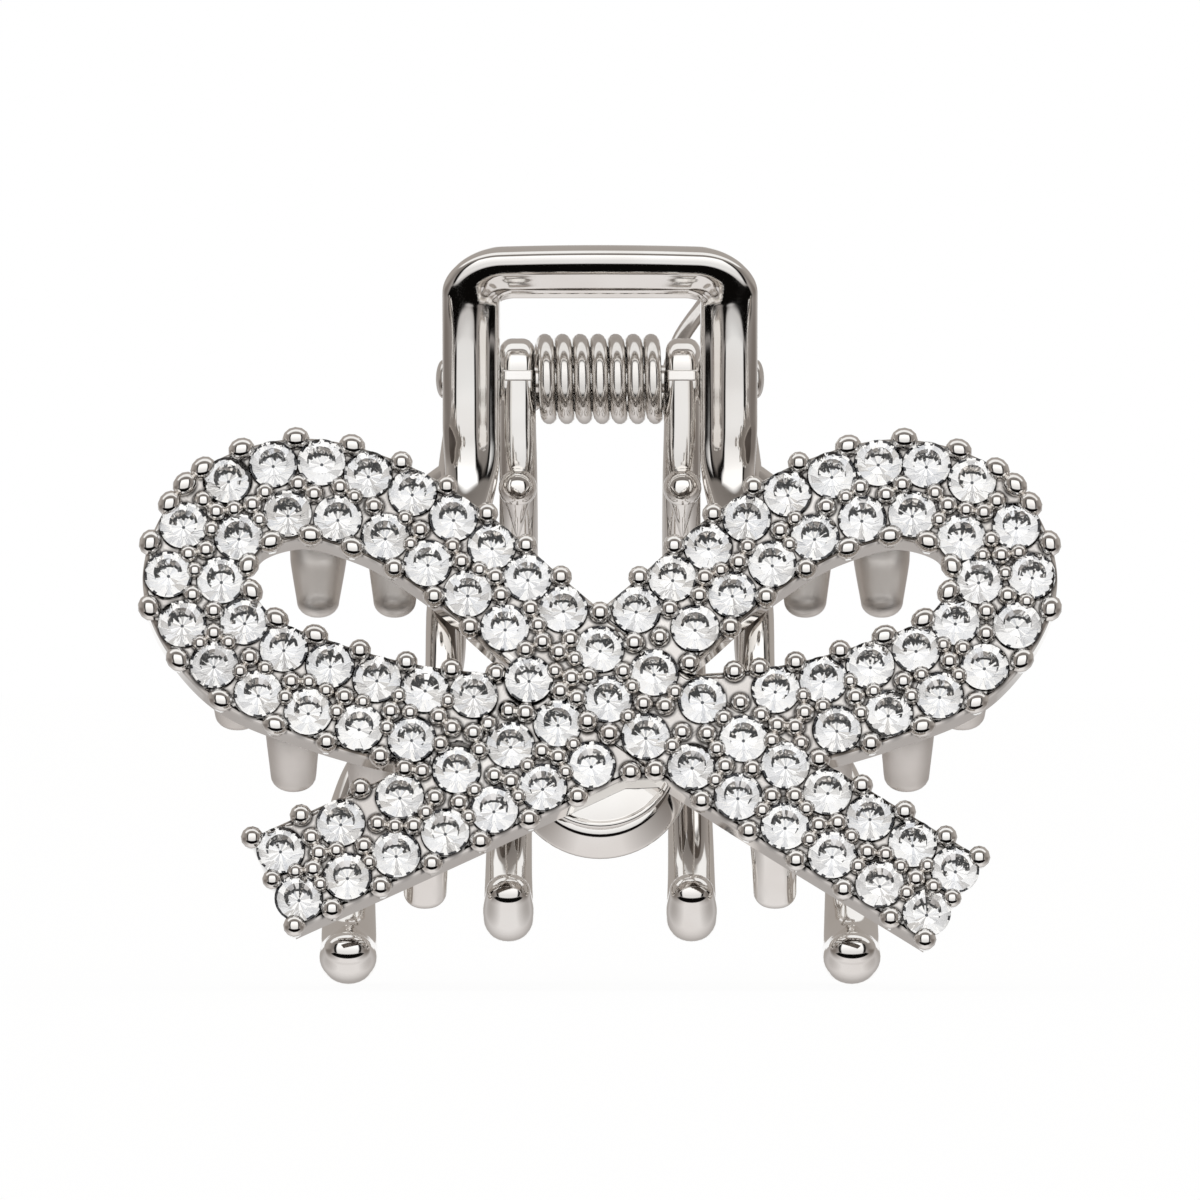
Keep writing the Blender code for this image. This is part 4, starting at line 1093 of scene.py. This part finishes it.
def painted_facet_tones(count, luck):
    """Painted reflection tones of the facets of some stones: clear ones 1, small ones at the girdle dark or
    light by chance, and wedges light and dark in turn round the stone, with chance on top."""
    chances = [DARK_CHANCE, 1 - DARK_CHANCE]
    girdle = luck.choice([DARK_GIRDLE, LIGHT_GIRDLE], (count, 4 * FOLD), p=chances)
    swing = WEDGE_TONE + WEDGE_SWING * (-1.0) ** np.arange(FOLD)
    wedges = swing + luck.uniform(*WEDGE_LUCK, (count, FOLD))
    culet = np.full((count, 1), CULET_TONE)
    return np.hstack([np.ones((count, len(CLEAR))), girdle, wedges, culet]).clip(0.0, 1.0)


def make_stones():
    """Rows named stones_ become one piece each; the others become one piece for each stone."""
    luck = np.random.default_rng(SEED)
    for stem, places, depth in ROWS:
        points = set_stones(places, depth, luck)
        single = stem.startswith("stone_")
        groups = [[i] for i in range(len(places))] if single else [list(range(len(places)))]
        for group in groups:
            name = "%s_%d" % (stem, group[0] + 1) if single else stem
            mesh = bpy.data.meshes.new("rhine" + name)
            count = len(CORNERS)
            facets = [[v + count * i for v in f] for i in range(len(group)) for f in CLEAR + FOILED]
            mesh.from_pydata(((points[group].reshape(-1, 3) + HINGE) * MM).tolist(), [], facets)
            numbers = ([0] * len(CLEAR) + [1] * len(FOILED)) * len(group)
            mesh.polygons.foreach_set("material_index", np.array(numbers, np.int32))
            face_outwards(mesh)
            # Each facet's painted reflection tone goes into the foil's colour
            tone = mesh.attributes.new("painted_facet_tone", "FLOAT", "FACE")
            tone.data.foreach_set("value", painted_facet_tones(len(group), luck).ravel())
            mesh.materials.append(GLASS)
            mesh.materials.append(FOIL)
            made = bpy.data.objects.new("rhine" + name, mesh)
            bpy.context.scene.collection.objects.link(made)
            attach(made, "front")
            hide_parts(name)
    print("stones set on", len(ROWS), "rows")


make_stones()

# %% [markdown]
# ## Studio
# The clip is shown on white. Mirror metal shows the room more than itself, so its look is made by what
# stands round it: a square soft box in front, brighter towards its top, which every ball shows as a
# small white window; a black frame at both sides of it and a dark card on the floor before it, which draw
# the black lines round that window; a strip light overhead; a white floor that falls off into shade to
# the sides and behind; a small backdrop; and grey walls. The room is the world's own shading by
# direction, which gives no grain. Lamps and real panels would do the same with more noise.

# %% Cards: rectangles of the room as the clip sees them
CARD_RIM = (1.16, 0.96)
LEAST_DEPTH = 0.001


def card(tree, across, upward, depth, half, middle, half_up):
    """1 inside a rectangle at unit depth, 0 outside, with a soft rim: inside, the larger of
    |across / depth| / half and |upward / depth - middle| / half_up is below 1."""
    safe = node(tree, "ShaderNodeMath", [(0, depth), (1, LEAST_DEPTH)], operation="MAXIMUM").outputs[0]
    sizes = []
    for value, centre, reach in ((across, 0.0, half), (upward, middle, half_up)):
        at = node(tree, "ShaderNodeMath", [(0, value), (1, safe)], operation="DIVIDE").outputs[0]
        off = node(tree, "ShaderNodeMath", [(0, at), (1, centre)], operation="SUBTRACT").outputs[0]
        far = node(tree, "ShaderNodeMath", [(0, off)], operation="ABSOLUTE").outputs[0]
        sizes.append(node(tree, "ShaderNodeMath", [(0, far), (1, reach)], operation="DIVIDE").outputs[0])
    most = node(tree, "ShaderNodeMath", [(0, sizes[0]), (1, sizes[1])], operation="MAXIMUM").outputs[0]
    rim = node(tree, "ShaderNodeMapRange", [("Value", most)], From_Min=CARD_RIM[0], From_Max=CARD_RIM[1])
    return rim.outputs["Result"]


# %% The room: walls, floor, dark card, overhead strip, dark frame, soft box and backdrop
# Each card is (half width, middle, half height), as shares of its distance.
FLOOR_CARD = (1.7, 0.76, 0.42)
STRIP = (1.4, -0.03, 0.27)
DARK_FRAME = (1.3, 0.12, 0.84)
SOFT_BOX = (0.85, 0.12, 0.84)
BACKDROP = (0.24, 0.0, 0.24)
LOW_LIGHT, HIGH_LIGHT = 0.86, 1.24
BEHIND_SHARE = 0.78
WHITE = (1.0, 1.0, 1.0, 1.0)


def room_layers(tree, x, y, z):
    """The room from its walls inwards, as pairs of where a layer shows and its shade. The floor's fall-off
    follows the larger of |x| and a share of y; the soft box brightens with z / front."""
    front = node(tree, "ShaderNodeMath", [(0, y), (1, -1.0)], operation="MULTIPLY").outputs[0]
    down = node(tree, "ShaderNodeMath", [(0, z), (1, -1.0)], operation="MULTIPLY").outputs[0]
    side = node(tree, "ShaderNodeMapRange", [("Value", y)], From_Min=-0.75, From_Max=0.3)
    below = node(tree, "ShaderNodeMapRange", [("Value", z)], From_Min=0.06, From_Max=-0.12)
    wide = node(tree, "ShaderNodeMath", [(0, x)], operation="ABSOLUTE").outputs[0]
    behind = node(tree, "ShaderNodeMath", [(0, y), (1, BEHIND_SHARE)], operation="MULTIPLY").outputs[0]
    away = node(tree, "ShaderNodeMath", [(0, wide), (1, behind)], operation="MAXIMUM").outputs[0]
    fall = node(tree, "ShaderNodeMapRange", [("Value", away)], From_Min=0.32, From_Max=0.95)
    shades = [("Factor", fall.outputs["Result"]), (MIX_A, linear("#ebe8e7")), (MIX_B, linear("#7d7671"))]
    paper = node(tree, "ShaderNodeMix", shades, data_type="RGBA")
    height = node(tree, "ShaderNodeMath", [(0, z), (1, front)], operation="DIVIDE").outputs[0]
    lamp = node(tree, "ShaderNodeMapRange", [("Value", height)], From_Min=-0.4, From_Max=0.4,
                To_Min=LOW_LIGHT, To_Max=HIGH_LIGHT)
    return [
        (side.outputs["Result"], linear("#aca6a1")),
        (below.outputs["Result"], paper.outputs[MIX_RESULT]),
        (card(tree, x, front, down, *FLOOR_CARD), linear("#0b0a09")),
        (card(tree, x, front, z, *STRIP), WHITE),
        (card(tree, x, z, front, *DARK_FRAME), linear("#12100f")),
        (card(tree, x, z, front, *SOFT_BOX), lamp.outputs["Result"]),
    ]


def room():
    """Lays the layers over the grey of the front walls. The camera sees plain white, and so do mirrors and
    glass where the backdrop stands."""
    world = bpy.data.worlds.new("light_tent")
    bpy.context.scene.world = world
    world.use_nodes = True
    tree = world.node_tree
    tree.nodes.clear()
    place = node(tree, "ShaderNodeTexCoord")
    parts = node(tree, "ShaderNodeSeparateXYZ", [("Vector", place.outputs["Generated"])])
    x, y, z = (parts.outputs[axis] for axis in "XYZ")
    colour = linear("#726d69")
    for share, shade in room_layers(tree, x, y, z):
        layers = [("Factor", share), (MIX_A, colour), (MIX_B, shade)]
        colour = node(tree, "ShaderNodeMix", layers, data_type="RGBA").outputs[MIX_RESULT]
    light = node(tree, "ShaderNodeBackground", [("Color", colour)], Strength=1.0)
    white = node(tree, "ShaderNodeBackground", Color=WHITE, Strength=1.0)
    ray = node(tree, "ShaderNodeLightPath").outputs
    rays = [(0, ray["Is Glossy Ray"]), (1, ray["Is Transmission Ray"])]
    mirror = node(tree, "ShaderNodeMath", rays, operation="MAXIMUM").outputs[0]
    sheet = card(tree, x, z, y, *BACKDROP)
    shown = node(tree, "ShaderNodeMath", [(0, sheet), (1, mirror)], operation="MULTIPLY").outputs[0]
    seen = node(tree, "ShaderNodeMath", [(0, ray["Is Camera Ray"]), (1, shown)], operation="MAXIMUM")
    shaders = [("Fac", seen.outputs[0]), (1, light.outputs["Background"]), (2, white.outputs["Background"])]
    both = node(tree, "ShaderNodeMixShader", shaders)
    node(tree, "ShaderNodeOutputWorld", [("Surface", both.outputs["Shader"])])
    print("room with soft box, dark frame and card, strip and backdrop")


room()

# %% Floor
FLOOR_HALF = 3000.0
FLOOR_GAP = 0.2
PULP_PER_MM = 0.9
GLOW = 1.05
GLOW_SHARE = 0.9


def floor():
    """A paper sweep just below the clip. The camera sees it glow nearly white, with enough of its own
    shading left to keep the clip's shadow."""
    level = CAD_BOX[0][2] / MM - FLOOR_GAP
    square = np.array([(-1.0, -1.0, 0.0), (1.0, -1.0, 0.0), (1.0, 1.0, 0.0), (-1.0, 1.0, 0.0)])
    corners = square * FLOOR_HALF + np.array([0.0, 0.0, level])
    mesh = bpy.data.meshes.new("floor_sheet")
    mesh.from_pydata((corners * MM).tolist(), [], [[0, 1, 2, 3]])
    made = bpy.data.objects.new("floor_sheet", mesh)
    bpy.context.scene.collection.objects.link(made)
    material, tree = new_material("white_paper_sweep")
    place = [("Vector", node(tree, "ShaderNodeTexCoord").outputs["Object"])]
    pulp = node(tree, "ShaderNodeTexNoise", place, Scale=PULP_PER_MM / MM, Detail=4.0)
    tint = node(tree, "ShaderNodeMapRange", [("Value", pulp.outputs["Fac"])], To_Min=0.88, To_Max=0.92)
    matt = node(tree, "ShaderNodeBsdfDiffuse", [("Color", tint.outputs["Result"])])
    glow = node(tree, "ShaderNodeEmission", Color=WHITE, Strength=GLOW)
    seen = node(tree, "ShaderNodeLightPath").outputs["Is Camera Ray"]
    share = node(tree, "ShaderNodeMath", [(0, seen), (1, GLOW_SHARE)], operation="MULTIPLY").outputs[0]
    shaders = [("Fac", share), (1, matt.outputs["BSDF"]), (2, glow.outputs["Emission"])]
    both = node(tree, "ShaderNodeMixShader", shaders)
    node(tree, "ShaderNodeOutputMaterial", [("Surface", both.outputs["Shader"])])
    mesh.materials.append(material)
    made.visible_glossy = False
    made.visible_transmission = False
    print("floor %.2f mm below the hinge" % (HINGE[2] - level))


floor()

# %% Camera
DISTANCE = 1000.0
FRAME_WIDTH = 60.0
SENSOR = 36.0
BOW_FRONT = -9.0
EYE_LEVEL = 3.85


def camera():
    """A long lens, level with the clip, set so that 60 mm of width at the bow's distance fills the frame:
    focal length = sensor * distance / width."""
    data = bpy.data.cameras.new("long_lens")
    data.sensor_width = SENSOR
    data.lens = SENSOR * DISTANCE / FRAME_WIDTH
    data.clip_start = 0.05
    data.clip_end = 20.0
    made = bpy.data.objects.new("long_lens", data)
    made.location = (0.0, (BOW_FRONT - DISTANCE) * MM, EYE_LEVEL * MM)
    made.rotation_euler = (math.radians(90.0), 0.0, 0.0)
    bpy.context.scene.collection.objects.link(made)
    bpy.context.scene.camera = made
    print("lens of %.0f mm" % data.lens)


camera()
bpy.context.scene.view_settings.view_transform = "Standard"
